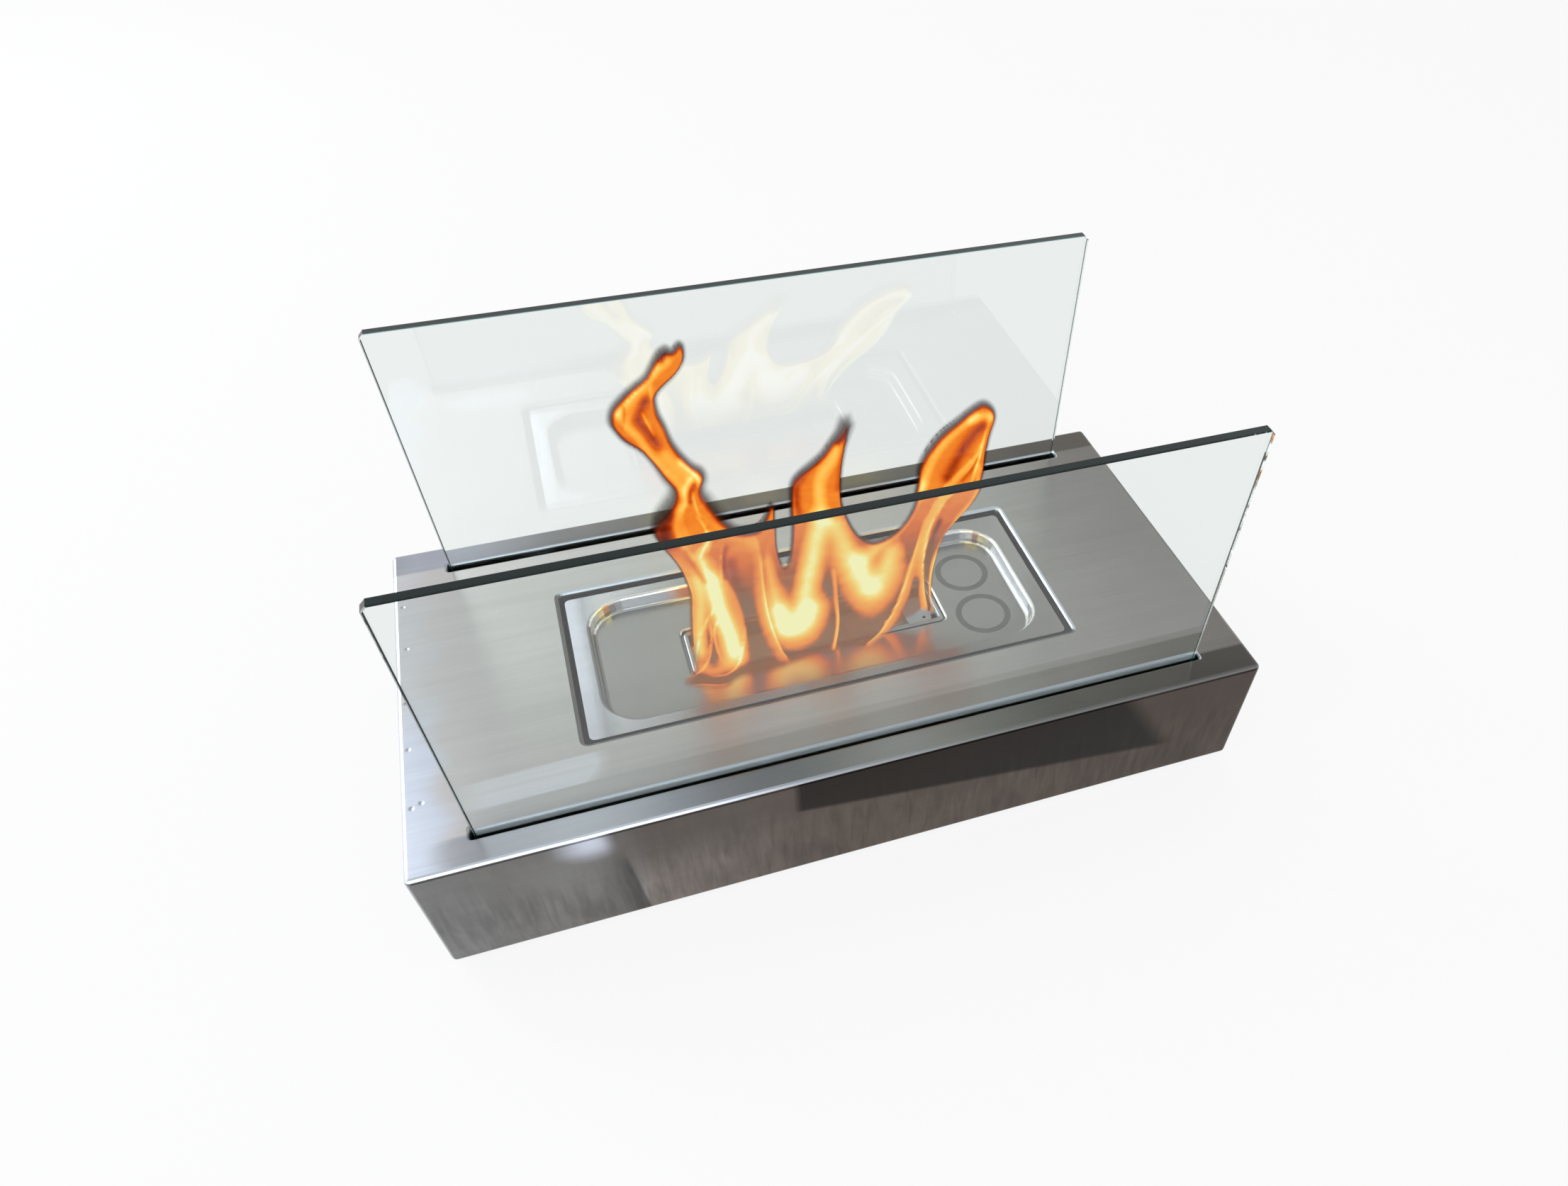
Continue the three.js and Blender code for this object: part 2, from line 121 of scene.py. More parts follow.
def feed(socket, value):
    value.tree.links.new(value.socket, socket)


def maths(operation, *values, clamp=False):
    settings = {"operation": operation, "use_clamp": clamp}
    return shader(treeOf(values), "ShaderNodeMath", dict(enumerate(values)), **settings)[0]


def most(first, second):
    return maths("MAXIMUM", first, second)


def least(first, second):
    return maths("MINIMUM", first, second)


def clamped(value):
    return maths("ADD", value, 0, clamp=True)


def mixColours(factor, first, second, blend="MIX"):
    inputs = {0: factor, 6: first, 7: second}
    tree = treeOf(inputs.values())
    return shader(tree, "ShaderNodeMix", inputs, data_type="RGBA", blend_type=blend)[2]


def tinted(colour, tint):
    # tint: a colour, or one tone for all three channels
    return mixColours(1.0, colour, tint, "MULTIPLY")


def ramp(value, stops, interpolation="LINEAR"):
    node = addNode(value.tree, "ShaderNodeValToRGB", {0: value})
    node.color_ramp.interpolation = interpolation
    elements = node.color_ramp.elements
    while len(elements) < len(stops):
        elements.new(0.5)
    for element, (position, colour) in zip(elements, stops):
        element.position = position
        element.color = (*colour, 1)
    return Value(node.outputs[0])


def spread(value, low, high, newLow=0.0, newHigh=1.0, smooth=True):
    inputs = {
        "Value": value, "From Min": low, "From Max": high, "To Min": newLow, "To Max": newHigh,
    }
    kind = "SMOOTHSTEP" if smooth else "LINEAR"
    return shader(value.tree, "ShaderNodeMapRange", inputs, interpolation_type=kind)[0]


def window(value, low, high, soft):
    # 1 between low and high, with soft ends
    return spread(value, low - soft, low + soft) * spread(value, high - soft, high + soft, 1, 0)


def spot(u, v, centre, radii):
    # 1 at the centre, 0 outside an ellipse
    du = (u - centre[0]) / radii[0]
    dv = (v - centre[1]) / radii[1]
    return spread((du * du + dv * dv) ** 0.5, 0, 1, 1, 0)


def axes(tree, space):
    # The place ("Object") or the way the surface faces ("Normal"), as x, y and z
    return shader(tree, "ShaderNodeSeparateXYZ", {0: shader(tree, "ShaderNodeTexCoord")[space]})


def facingUp(tree):
    return spread(axes(tree, "Normal")[2], 0.35, 0.8)


def vector(x, y, z=0):
    return shader(treeOf((x, y)), "ShaderNodeCombineXYZ", {0: x, 1: y, 2: z})[0]


def noise(at, scale, detail, roughness=0.5, distortion=0.0, flat=False):
    inputs = {
        "Vector": at, "Scale": scale, "Detail": detail,
        "Roughness": roughness, "Distortion": distortion,
    }
    kind = "2D" if flat else "3D"
    return shader(at.tree, "ShaderNodeTexNoise", inputs, noise_dimensions=kind)[0]


def bump(height, distance, strength, under=None):
    inputs = {"Height": height, "Distance": distance, "Strength": strength}
    if under is not None:
        inputs["Normal"] = under
    return shader(height.tree, "ShaderNodeBump", inputs)[0]


def seenDirectly(tree):
    # 1 for camera, glossy and transmitted rays, which see the white background
    path = shader(tree, "ShaderNodeLightPath")
    return most(most(path["Is Camera Ray"], path["Is Glossy Ray"]), path["Is Transmission Ray"])


def mirrored(tree):
    # 1 for rays that steel or glass reflect; those passing through glass count as glossy too
    path = shader(tree, "ShaderNodeLightPath")
    return clamped(path["Is Glossy Ray"] - path["Is Transmission Ray"])


def newFinish(name, **values):
    material = bpy.data.materials.new(name)
    material.use_nodes = True
    tree = material.node_tree
    surface = tree.nodes["Principled BSDF"].inputs
    for label, value in values.items():
        surface[label.replace("_", " ")].default_value = value
    return material, tree, surface


# ---- camera, light and floor ----

photoView = {
    "imageWidth": 2212,
    "imageHeight": 1673,
    "focalPixels": 1453,
    "axisPixel": (1268, 978),  # where the lens axis meets the picture
    "place": (-78.6 * mm, -319.2 * mm, 387.4 * mm),
    "azimuth": -20.79,
    "elevation": 49.17,
    "roll": 2.59,
}


def makeCamera(view):
    azimuth = math.radians(view["azimuth"])
    elevation = math.radians(view["elevation"])
    roll = math.radians(view["roll"])
    forward = Vector((
        -math.sin(azimuth) * math.cos(elevation),
        math.cos(azimuth) * math.cos(elevation),
        -math.sin(elevation),
    ))
    right = forward.cross(Vector((0, 0, 1))).normalized()
    up = right.cross(forward)
    right, up = (
        right * math.cos(roll) + up * math.sin(roll),
        up * math.cos(roll) - right * math.sin(roll),
    )
    data = bpy.data.cameras.new("photoCamera")
    width = view["imageWidth"]
    data.sensor_width = 36
    data.lens = view["focalPixels"] / width * data.sensor_width
    data.shift_x = (width / 2 - view["axisPixel"][0]) / width
    data.shift_y = (view["axisPixel"][1] - view["imageHeight"] / 2) / width
    data.clip_start = 0.01
    camera = bpy.data.objects.new("photoCamera", data)
    scene.collection.objects.link(camera)
    turn = Matrix((right, up, -forward)).transposed().to_4x4()
    camera.matrix_world = Matrix.Translation(view["place"]) @ turn
    scene.camera = camera


studio = {
    "skyStrength": 0.72,
    "background": (1, 1, 1, 1),
    "overhead": 0.5,  # metal and glass see a white horizon and a darker ceiling
    "ceilingFrom": (0.2, 0.85),
    "floorSize": 8,
    "floorColour": (0.86, 0.86, 0.86, 1),
    "floorWhiteness": 0.85,
    # name: place, aimed at, width, height, watts, colour
    "lamps": {
        "rearSoftbox": ((-0.95, 0.95, 0.62), (-0.1, 0.02, 0.05), 0.4, 0.5, 3.4, (0.95, 0.98, 1)),
        "window": ((-0.74, 0.86, 1.02), (-0.15, 0, 0.05), 0.3, 0.7, 1.6, (0.9, 0.96, 1)),
        "frontStrip": ((-0.4, -1.1, 0.85), (-0.05, -0.05, 0.06), 0.9, 0.2, 3.4, (0.93, 0.97, 1)),
        "sideStrip": ((-1.1, -0.25, 0.6), (-0.1, 0, 0.06), 0.16, 1.1, 1.6, (0.95, 0.98, 1)),
    },
}


def makeStudio(setting):
    world = bpy.data.worlds.new("studioSky")
    world.use_nodes = True
    scene.world = world
    tree = world.node_tree
    background = tree.nodes["Background"].inputs
    background["Color"].default_value = setting["background"]
    strength = spread(seenDirectly(tree), 0, 1, setting["skyStrength"], 1, smooth=False)
    rise = axes(tree, "Generated")[2]
    ceiling = spread(rise, *setting["ceilingFrom"], 0, 1 - setting["overhead"])
    feed(background["Strength"], strength - ceiling * mirrored(tree))

    for name, (place, target, width, height, watts, colour) in setting["lamps"].items():
        data = bpy.data.lights.new(name, "AREA")
        data.shape = "RECTANGLE"
        data.size = width
        data.size_y = height
        data.energy = watts
        data.color = colour
        lamp = bpy.data.objects.new(name, data)
        scene.collection.objects.link(lamp)
        lamp.location = place
        lamp.rotation_mode = "QUATERNION"
        aim = Vector(target) - Vector(place)
        lamp.rotation_quaternion = aim.to_track_quat("-Z", "Y")

    half = setting["floorSize"] / 2
    mesh = bpy.data.meshes.new("studioFloor")
    corners = [(-half, -half, 0), (half, -half, 0), (half, half, 0), (-half, half, 0)]
    mesh.from_pydata(corners, [], [(0, 1, 2, 3)])
    floor = bpy.data.objects.new("studioFloor", mesh)
    scene.collection.objects.link(floor)
    material, tree, _ = newFinish(
        "paleFloor", Base_Color=setting["floorColour"], Roughness=0.9, Specular_IOR_Level=0
    )
    paint = tree.nodes["Principled BSDF"].outputs[0]
    white = shader(tree, "ShaderNodeEmission", {"Color": setting["background"]})[0]
    share = seenDirectly(tree) * setting["floorWhiteness"]
    mixed = shader(tree, "ShaderNodeMixShader", {0: share, 1: paint, 2: white})[0]
    feed(tree.nodes["Material Output"].inputs["Surface"], mixed)
    mesh.materials.append(material)


makeCamera(photoView)
makeStudio(studio)
scene.view_settings.view_transform = "Standard"
print("studio ready")


# ---- shared effects ----


def newGroup(name, inputs, outputs):
    group = bpy.data.node_groups.new(name, "ShaderNodeTree")
    for label, default in inputs.items():
        socket = group.interface.new_socket(label, in_out="INPUT", socket_type="NodeSocketFloat")
        socket.default_value = default
    for label in outputs:
        group.interface.new_socket(label, in_out="OUTPUT", socket_type="NodeSocketFloat")
    given = Outputs(group.nodes.new("NodeGroupInput"))
    return group, given, group.nodes.new("NodeGroupOutput").inputs


def makeBrushing():
    # Lines left by the abrasive belt: along X on the top and the long sides, upright on the ends
    sizes = {"Lines Per Metre": 1900, "Line Length": 0.05, "Band Width": 0.006}
    group, given, made = newGroup("beltBrushing", sizes, ("Line", "Band"))
    x, y, z = axes(group, "Object")
    onEnd = abs(axes(group, "Normal")[0]) > 0.75
    onRest = 1 - onEnd
    along = (x * onRest + z * onEnd) / given["Line Length"]
    across = y + z * onRest
    fineAt = vector(along, across * given["Lines Per Metre"])
    bandAt = vector(along * 0.3, across / given["Band Width"])
    feed(made["Line"], noise(fineAt, 1, 2, 0.6, flat=True))
    feed(made["Band"], noise(bandAt, 1, 4, 0.65, flat=True))
    return group


def makeHandling():
    # Faint clouds where a surface was wiped and handled
    group, given, made = newGroup("handlingClouds", {"Cloud Size": 0.05}, ("Cloud",))
    place = shader(group, "ShaderNodeTexCoord")["Object"]
    feed(made["Cloud"], noise(place, 1 / given["Cloud Size"], 5, 0.55, 0.6))
    return group


def makeBendLight():
    # Bends that turn to the left or the front catch the window, the others stay dark
    group, given, made = newGroup("bendLight", {"From": 0.2, "To": 0.9}, ("Bright", "Dark"))
    x, y, _ = axes(group, "Normal")
    for turn, label in ((least(x, y) * -1, "Bright"), (most(x, y), "Dark")):
        rise = spread(turn, given["From"] * 0.5, given["From"])
        feed(made[label], rise * spread(turn, given["To"], given["To"] + 0.07, 1, 0))
    return group


beltBrushing = makeBrushing()
handlingClouds = makeHandling()
bendLight = makeBendLight()


def useGroup(tree, group, **values):
    node = addNode(tree, "ShaderNodeGroup", node_tree=group)
    for name, value in values.items():
        node.inputs[name.replace("_", " ")].default_value = value
    return Outputs(node)


def brushed(colour, brush, bandDepth, lineDepth):
    for mark, low, depth in (("Band", 0.3, bandDepth), ("Line", 0.25, lineDepth)):
        tone = spread(brush[mark], low, 1 - low, 1 - depth, 1 + depth, smooth=False)
        colour = tinted(colour, tone)
    return colour


def stretchHighlights(tree, surface):
    # Highlights on brushed steel spread across its lines, which run along X
    tangent = shader(tree, "ShaderNodeTangent", direction_type="RADIAL", axis="X")[0]
    feed(surface["Tangent"], tangent)


# ---- finishes ----

casingLook = {
    # Painted reflection on the top: lighter on the left, darker to the right
    "topTones": [
        (0.0, (0.78, 0.77, 0.77)),
        (0.1, (0.74, 0.73, 0.72)),
        (0.3, (0.66, 0.65, 0.63)),
        (0.65, (0.62, 0.61, 0.58)),
        (0.85, (0.36, 0.345, 0.325)),
        (1.0, (0.275, 0.263, 0.247)),
    ],
    # The strips outside the two slots, as a share of the tones above: painted reflections
    "frontStrip": [
        (0.0, (1.06, 1.1, 1.16)), (0.07, (0.48, 0.5, 0.57)), (0.18, (0.86, 0.94, 1.03)),
        (0.28, (0.48, 0.52, 0.6)), (0.41, (0.2, 0.22, 0.23)), (0.53, (0.62, 0.65, 0.66)),
        (0.65, (0.33, 0.34, 0.33)), (0.8, (0.27, 0.27, 0.26)), (1.0, (0.48, 0.47, 0.45)),
    ],
    "rearStrip": [
        (0.0, (0.42, 0.42, 0.43)), (0.08, (0.92, 1.0, 1.2)), (0.2, (0.5, 0.5, 0.49)),
        (0.5, (0.38, 0.36, 0.335)), (0.75, (0.4, 0.39, 0.37)), (1.0, (0.64, 0.61, 0.58)),
    ],
    "slotY": 75.5 * mm,
    "lipDepth": (2 * mm, 5 * mm),  # behind the middle of the front slot
    # Painted highlight on the front slot's rear lip
    "lip": (0.82, 0.87, 0.95, 1),
    "plainSide": (0.40, 0.396, 0.39, 1),
    # The front face's painted reflection of the room, from left to right
    "frontTones": [
        (0.0, (0.20, 0.20, 0.20)),
        (0.14, (0.175, 0.17, 0.165)),
        (0.215, (0.15, 0.14, 0.132)),
        (0.245, (0.12, 0.104, 0.095)),
        (0.5, (0.105, 0.084, 0.072)),
        (1.0, (0.068, 0.051, 0.042)),
    ],
    "waves": ((70, 0.12), (330, 0.17)),  # per metre, and how much each darkens or lightens
    "wavesLow": 0.25,
    # Painted sheen on the left edge, and a painted highlight streak across the top
    "edgeBlue": (0.80, 0.87, 1.0, 1),
    "streak": (0.93, 0.955, 1.0, 1),
    "streakBand": (-59.4 * mm, -46 * mm),
    "streakCore": ((-83 * mm, -55.5 * mm), (24 * mm, 13 * mm)),
    # What the front face mirrors: middle (x, depth below the top), reach, tone and strength
    "lamps": (
        ((-122 * mm, -20 * mm), (30 * mm, 24 * mm), (0.26, 0.26, 0.26, 1), 0.5),
        ((-111 * mm, -4 * mm), (17 * mm, 14 * mm), (0.66, 0.70, 0.82, 1), 1.0),
    ),
    "stepLeft": -102.2 * mm,  # upright edge between the lit part and the room
    "stepSlant": -0.0878,
    "stepSoft": 1.6 * mm,
    "roomShade": 0.2,
    "foldShade": 0.3,
    "bendBright": (0.80, 0.86, 0.96, 1),
    "bendDark": (0.11, 0.11, 0.11, 1),
    "marks": [
        (-171 * mm, 55.6 * mm), (-170.2 * mm, 29.1 * mm), (-171.3 * mm, -3.8 * mm),
        (-171.3 * mm, -28.5 * mm), (-171 * mm, -57.5 * mm), (-167.5 * mm, -56 * mm),
    ],
    "markRadius": 1.3 * mm,
    "markDepth": 0.3 * mm,
    "roughness": 0.3,
    "sheetWave": 0.5 * mm,
    "halfWidth": 175 * mm,
}


def casingTopColour(look, x, y, share, cloud):
    # Painted reflection on the top, shifted a little by the handling clouds
    top = ramp(share + cloud * 0.12 - 0.06, look["topTones"], "B_SPLINE")
    # Painted reflections on the strips outside the two slots
    for strip, side in (("frontStrip", -1), ("rearStrip", 1)):
        outside = spread(y * side, look["slotY"] - 1 * mm, look["slotY"] + 1 * mm)
        top = mixColours(outside, top, tinted(top, ramp(share, look[strip], "B_SPLINE")))
    # Painted sheen: a bright wavy edge on the left, and a soft painted highlight streak from it to
    # the tray
    sway = x + maths("SINE", y * 210) * (3 * mm) + cloud * (16 * mm)
    edge = spread(sway, -160 * mm, -148 * mm, 1, 0) * spread(y, -30 * mm, 5 * mm, 0.95, 0.25)
    edge = most(edge, spread(x, -174 * mm, -172.5 * mm, 0.4, 0))
    top = mixColours(edge, top, look["edgeBlue"])
    band = window(y - x * 0.03, *look["streakBand"], 0.7 * mm)
    core = spot(x - y * 0.6, y, *look["streakCore"])
    core = clamped(core * 1.3 + window(x, -153 * mm, -104 * mm, 12 * mm))
    return mixColours(band * core ** 2 * 0.9, top, look["streak"])


def casingSideColour(look, x, y, z, share, onFront):
    below = z - casingTop
    # The front carries a painted reflection, the other sides a plain tone
    side = mixColours(onFront, look["plainSide"], ramp(share, look["frontTones"], "EASE"))
    # Painted reflection of upright waves in the sheet, strongest low on the front
    waves = None
    for perMetre, depth in look["waves"]:
        wave = noise(vector((x + y) * perMetre, z * 45), 1, 2, 0.5, 0.5, flat=True)
        tone = spread(wave, 0.25, 0.75, 1 - depth, 1 + depth, smooth=False)
        waves = tone if waves is None else waves * tone
    rippled = onFront * spread(below, -34 * mm, -10 * mm, 1, look["wavesLow"])
    side = tinted(side, (waves - 1) * most(rippled, look["wavesLow"]) + 1)
    # The front mirrors the dark room under a slanting line
    room = spread(x, -34 * mm, -30 * mm) * spread(x + below * 0.65, 106 * mm, 118 * mm, 1, 0)
    room = room * spread(below + x * 0.123, -24 * mm, -21 * mm) * onFront
    side = tinted(side, spread(room, 0, 1, 1, look["roomShade"], smooth=False))
    # It mirrors the edge of a wall, light on the right and dark on the left
    pastStep = x - below * look["stepSlant"] - look["stepLeft"]
    lit = spread(pastStep, 0, look["stepSoft"]) * spread(pastStep, 5 * mm, 80 * mm, 0.62, 0)
    side = tinted(side, lit * spread(below, -12 * mm, -45 * mm) * onFront + 1)
    wall = spread(pastStep, -10 * mm, -1 * mm) * spread(pastStep, 0, look["stepSoft"], 1, 0)
    side = tinted(side, 1 - wall * spread(below, -9 * mm, -30 * mm, 0, 0.36) * onFront)
    # Left of that edge, a lamp with its glow
    leftOf = spread(pastStep, -6 * mm, 1 * mm, 1, 0) * onFront
    for centre, reach, tone, strength in look["lamps"]:
        side = mixColours(spot(x, below, centre, reach) * leftOf * strength, side, tone)
    # Dark lines along the folds at its bottom and top
    bottom = spread(below, -59.4 * mm, -58.8 * mm, 1, 0)
    folds = most(bottom, window(below, -2 * mm, -1.3 * mm, 0.3 * mm))
    return tinted(side, spread(folds * onFront, 0, 1, 1, look["foldShade"], smooth=False))


def makeCasingFinish(look):
    material, tree, surface = newFinish("brushedCasing", Metallic=1.0, Anisotropic=0.72)
    x, y, z = axes(tree, "Object")
    facing = axes(tree, "Normal")
    brush = useGroup(tree, beltBrushing)
    cloud = useGroup(tree, handlingClouds)["Cloud"]
    bends = useGroup(tree, bendLight)
    share = spread(x, -look["halfWidth"], look["halfWidth"], smooth=False)
    onFront = spread(facing[1], -0.9, -0.6, 1, 0)
    side = casingSideColour(look, x, y, z, share, onFront)
    # The front slot's rear lip shows through the pane as a painted highlight: pale, matt and not
    # metal
    lip = onFront * window(y + look["slotY"], *look["lipDepth"], 0.2 * mm)
    side = mixColours(lip, side, look["lip"])
    feed(surface["Metallic"], 1 - lip)
    colour = mixColours(facingUp(tree), side, casingTopColour(look, x, y, share, cloud))
    # The front bend fades to the right; the slots' front lips stay light
    fade = spread(y, -86 * mm, -84 * mm, 1, 0) * spread(x, -120 * mm, 50 * mm, 0, 0.88)
    bright = bends["Bright"] * (1 - fade) * spread(facing[2], -0.3, -0.1)
    bright = bright * spread(x, -173.7 * mm, -173.1 * mm, 0.25, 1)
    colour = mixColours(bright, colour, look["bendBright"])
    inner = spread(abs(y), 50 * mm, 60 * mm, 0.9, 0.2)
    colour = mixColours(bends["Dark"] * inner, colour, look["bendDark"])
    colour = brushed(colour, brush, 0.04, 0.035)
    # Small dimples where studs are welded under the sheet
    radius = look["markRadius"]
    marks = [spot(x, y, centre, (radius, radius)) for centre in look["marks"]]
    dimples = reduce(most, marks) * facingUp(tree)
    colour = tinted(colour, spread(dimples, 0, 0.6, 1, 0.7, smooth=False))
    feed(surface["Base Color"], colour)
    rough = cloud * 0.08 + brush["Band"] * 0.05 + lip * 0.5
    feed(surface["Roughness"], rough + look["roughness"] - 0.04)
    stretchHighlights(tree, surface)
    # The sheet isn't quite flat, which makes its highlights wavy
    dents = noise(shader(tree, "ShaderNodeTexCoord")["Object"], 16, 1)
    gentle = bump(dents, look["sheetWave"], 0.6)
    feed(surface["Normal"], bump(dimples, -look["markDepth"], 0.7, gentle))
    return material


trayLook = {
    # Painted reflection on the basin's floor: lighter on the left, darker to the right
    "tones": [
        (0.0, (0.42, 0.41, 0.395)),
        (0.12, (0.405, 0.395, 0.373)),
        (0.5, (0.38, 0.37, 0.35)),
        (1.0, (0.315, 0.305, 0.287)),
    ],
    # Painted sheen on the basin's walls, pale and bluish
    "wall": (0.66, 0.68, 0.77, 1),
    # Painted reflection on the flange round the basin, its tones from left to right
    "flange": [
        (0.0, (0.90, 0.92, 1.0)), (0.018, (0.84, 0.86, 0.95)), (0.034, (0.6, 0.61, 0.65)),
        (0.07, (0.76, 0.76, 0.78)), (0.25, (0.46, 0.45, 0.44)), (0.8, (0.33, 0.325, 0.31)),
        (1.0, (0.40, 0.39, 0.37)),
    ],
    "flangeDepth": 0.5 * mm,
    "bendBright": (0.98, 0.99, 1.0, 1),
    "bendDark": (0.24, 0.24, 0.24, 1),
    "halfWidth": 104 * mm,
    "roughness": 0.24,
    "rings": [(75.8 * mm, 13.3 * mm), (75.5 * mm, -15.1 * mm)],
    "ringRadius": 11.2 * mm,
    "ringWidth": 1.4 * mm,
    "ringTone": 0.62,
}


def makeTrayFinish(look):
    material, tree, surface = newFinish("brushedTray", Metallic=1.0, Anisotropic=0.5)
    x, y, z = axes(tree, "Object")
    brush = useGroup(tree, beltBrushing)
    cloud = useGroup(tree, handlingClouds)["Cloud"]
    bends = useGroup(tree, bendLight)
    share = spread(x, -look["halfWidth"], look["halfWidth"], smooth=False)
    # Painted reflections on the floor and the flange, lighter on the left
    floor = ramp(share, look["tones"], "B_SPLINE")
    depth = look["flangeDepth"]
    onFlange = spread(z, trayTop - 2 * depth, trayTop - depth / 2)
    colour = mixColours(onFlange, floor, ramp(share, look["flange"]))
    # Painted sheen: the walls, which don't face up, paler and bluer than the floor
    colour = mixColours(1 - facingUp(tree), colour, look["wall"])
    colour = mixColours(bends["Dark"], colour, look["bendDark"])
    colour = mixColours(bends["Bright"], colour, look["bendBright"])
    # The bend at the foot of the rear wall turns to the front too, but stays dark
    low = spread(z, trayTop - 4.6 * mm, trayTop - 3.8 * mm, 0.8, 0)
    low = low * spread(axes(tree, "Normal")[1], -0.6, -0.3, 1, 0)
    colour = mixColours(low * bends["Bright"], colour, look["bendDark"])
    colour = brushed(colour, brush, 0.03, 0.025)
    # Two rings etched into the basin's floor
    rings = []
    for ringX, ringY in look["rings"]:
        dx, dy = x - ringX, y - ringY
        off = abs((dx * dx + dy * dy) ** 0.5 - look["ringRadius"])
        rings.append(spread(off, look["ringWidth"] * 0.8, look["ringWidth"] * 1.15, 1, 0))
    etched = reduce(most, rings)
    colour = tinted(colour, spread(etched, 0, 1, 1, look["ringTone"], smooth=False))
    feed(surface["Base Color"], colour)
    feed(surface["Roughness"], cloud * 0.08 + etched * 0.2 + look["roughness"] - 0.04)
    stretchHighlights(tree, surface)
    return material


def makePlainSteel(name, colour, roughness):
    material, tree, surface = newFinish(name, Metallic=1.0)
    line = useGroup(tree, beltBrushing, Line_Length=0.03)["Line"]
    cloud = useGroup(tree, handlingClouds, Cloud_Size=0.02)["Cloud"]
    darker = tuple(value * 0.8 for value in colour)
    feed(surface["Base Color"], ramp(cloud, [(0.35, darker), (0.65, colour)]))
    feed(surface["Roughness"], cloud * 0.15 + roughness - 0.07)
    feed(surface["Normal"], bump(line, 0.01 * mm, 0.4))
    return material


glassLook = {
    "face": (0.85, 0.887, 0.875, 1),
    "edge": (0.015, 0.085, 0.08, 1),
    # Painted highlight on the panes' right edges
    "rightEdge": (0.22, 0.40, 0.37, 1),
    "edgeGlow": (0.0, 0.008, 0.008, 1),
    "halfWidth": 150 * mm,
    "top": 180 * mm,
    "edgeBand": 0.3 * mm,
}


def makeGlassFinish(look):
    material, tree, surface = newFinish(
        "clearPane", Metallic=0.0, Transmission_Weight=1.0, IOR=1.5, Emission_Strength=1.0
    )
    x, _, z = axes(tree, "Object")
    cloud = useGroup(tree, handlingClouds, Cloud_Size=0.08)["Cloud"]
    band = look["edgeBand"]
    onTop, onSides, onRight = (
        spread(value, end - band, end - band / 2)
        for value, end in ((z, look["top"]), (abs(x), look["halfWidth"]), (x, look["halfWidth"]))
    )
    edge = most(onSides, onTop)
    # Painted highlight: the panes' right edges are lighter than the others
    edgeColour = mixColours(clamped(onRight - onTop), look["edge"], look["rightEdge"])
    feed(surface["Base Color"], mixColours(edge, look["face"], edgeColour))
    feed(surface["Roughness"], edge * 0.03 + cloud * 0.012)
    # Light that runs inside the sheet leaves at its edges
    feed(surface["Emission Color"], mixColours(edge, (0, 0, 0, 1), look["edgeGlow"]))
    return material


def makeRubberFinish(name, colour):
    material, tree, surface = newFinish(name)
    cloud = useGroup(tree, handlingClouds, Cloud_Size=0.006)["Cloud"]
    dusty = tuple(value * 1.9 + 0.01 for value in colour)
    feed(surface["Base Color"], ramp(cloud, [(0.3, colour), (0.8, dusty)]))
    feed(surface["Roughness"], spread(cloud, 0.2, 0.8, 0.6, 0.85, smooth=False))
    feed(surface["Normal"], bump(cloud, 0.12 * mm, 0.5))
    return material


woolLook = {
    "fibre": (0.80, 0.78, 0.73),
    "shade": (0.48, 0.46, 0.42),
    "soot": (0.10, 0.09, 0.08, 1),
}


def makeWoolFinish(look):
    material, tree, surface = newFinish("ceramicFibre", Roughness=0.95)
    place = shader(tree, "ShaderNodeTexCoord")["Object"]
    tangled = noise(place, 900, 4, 0.7, 2.5)
    colour = ramp(tangled, [(0.35, look["shade"]), (0.6, look["fibre"])])
    soot = spread(noise(place, 45, 3), 0.52, 0.75, 0, 0.6)
    feed(surface["Base Color"], mixColours(soot, colour, look["soot"]))
    feed(surface["Normal"], bump(tangled, 0.6 * mm, 0.8))
    return material


casingSteel = makeCasingFinish(casingLook)
traySteel = makeTrayFinish(trayLook)
collarSteel = makePlainSteel("polishedCollar", (0.46, 0.46, 0.455), 0.22)
innerSteel = makePlainSteel("innerSteel", (0.36, 0.36, 0.35), 0.34)
zincSheet = makePlainSteel("zincSheet", (0.46, 0.48, 0.49), 0.42)
paneGlass = makeGlassFinish(glassLook)
footRubber = makeRubberFinish("footRubber", (0.018, 0.018, 0.019))
padSilicone = makeRubberFinish("padSilicone", (0.05, 0.05, 0.055))
woolFibre = makeWoolFinish(woolLook)

finishes = {
    "casing_shell": casingSteel,
    "burner_tray": traySteel,
    "slot_collar": collarSteel,
    "fill_gauge_plate": collarSteel,
    "base_plate": zincSheet,
    "burner_outer_box": innerSteel,
    "fuel_tank": innerSteel,
    "fuel_tank_lid": innerSteel,
    "front_glass": paneGlass,
    "rear_glass": paneGlass,
    "ceramic_wool": woolFibre,
    "tank_spacer_left": woolFibre,
    "tank_spacer_right": woolFibre,
    "front_glass_channel": zincSheet,
    "rear_glass_channel": zincSheet,
    "burner_rest_left": zincSheet,
    "burner_rest_right": zincSheet,
}
for name, node in nodes.items():
    finish = finishes.get(name)
    if finish is None:
        finish = footRubber if name.startswith("foot_") else padSilicone
    node.data.materials.clear()
    node.data.materials.append(finish)
print("finishes on", len(nodes), "nodes")


# ---- pieces made here ----


def meshPiece(name, vertices, faces, finish):
    mesh = bpy.data.meshes.new(name)
    mesh.from_pydata([tuple(map(float, v)) for v in vertices], [], faces)
    mesh.materials.append(finish)
    mesh.validate()
    mesh.shade_smooth()
    piece = bpy.data.objects.new(name, mesh)
    scene.collection.objects.link(piece)
    return piece


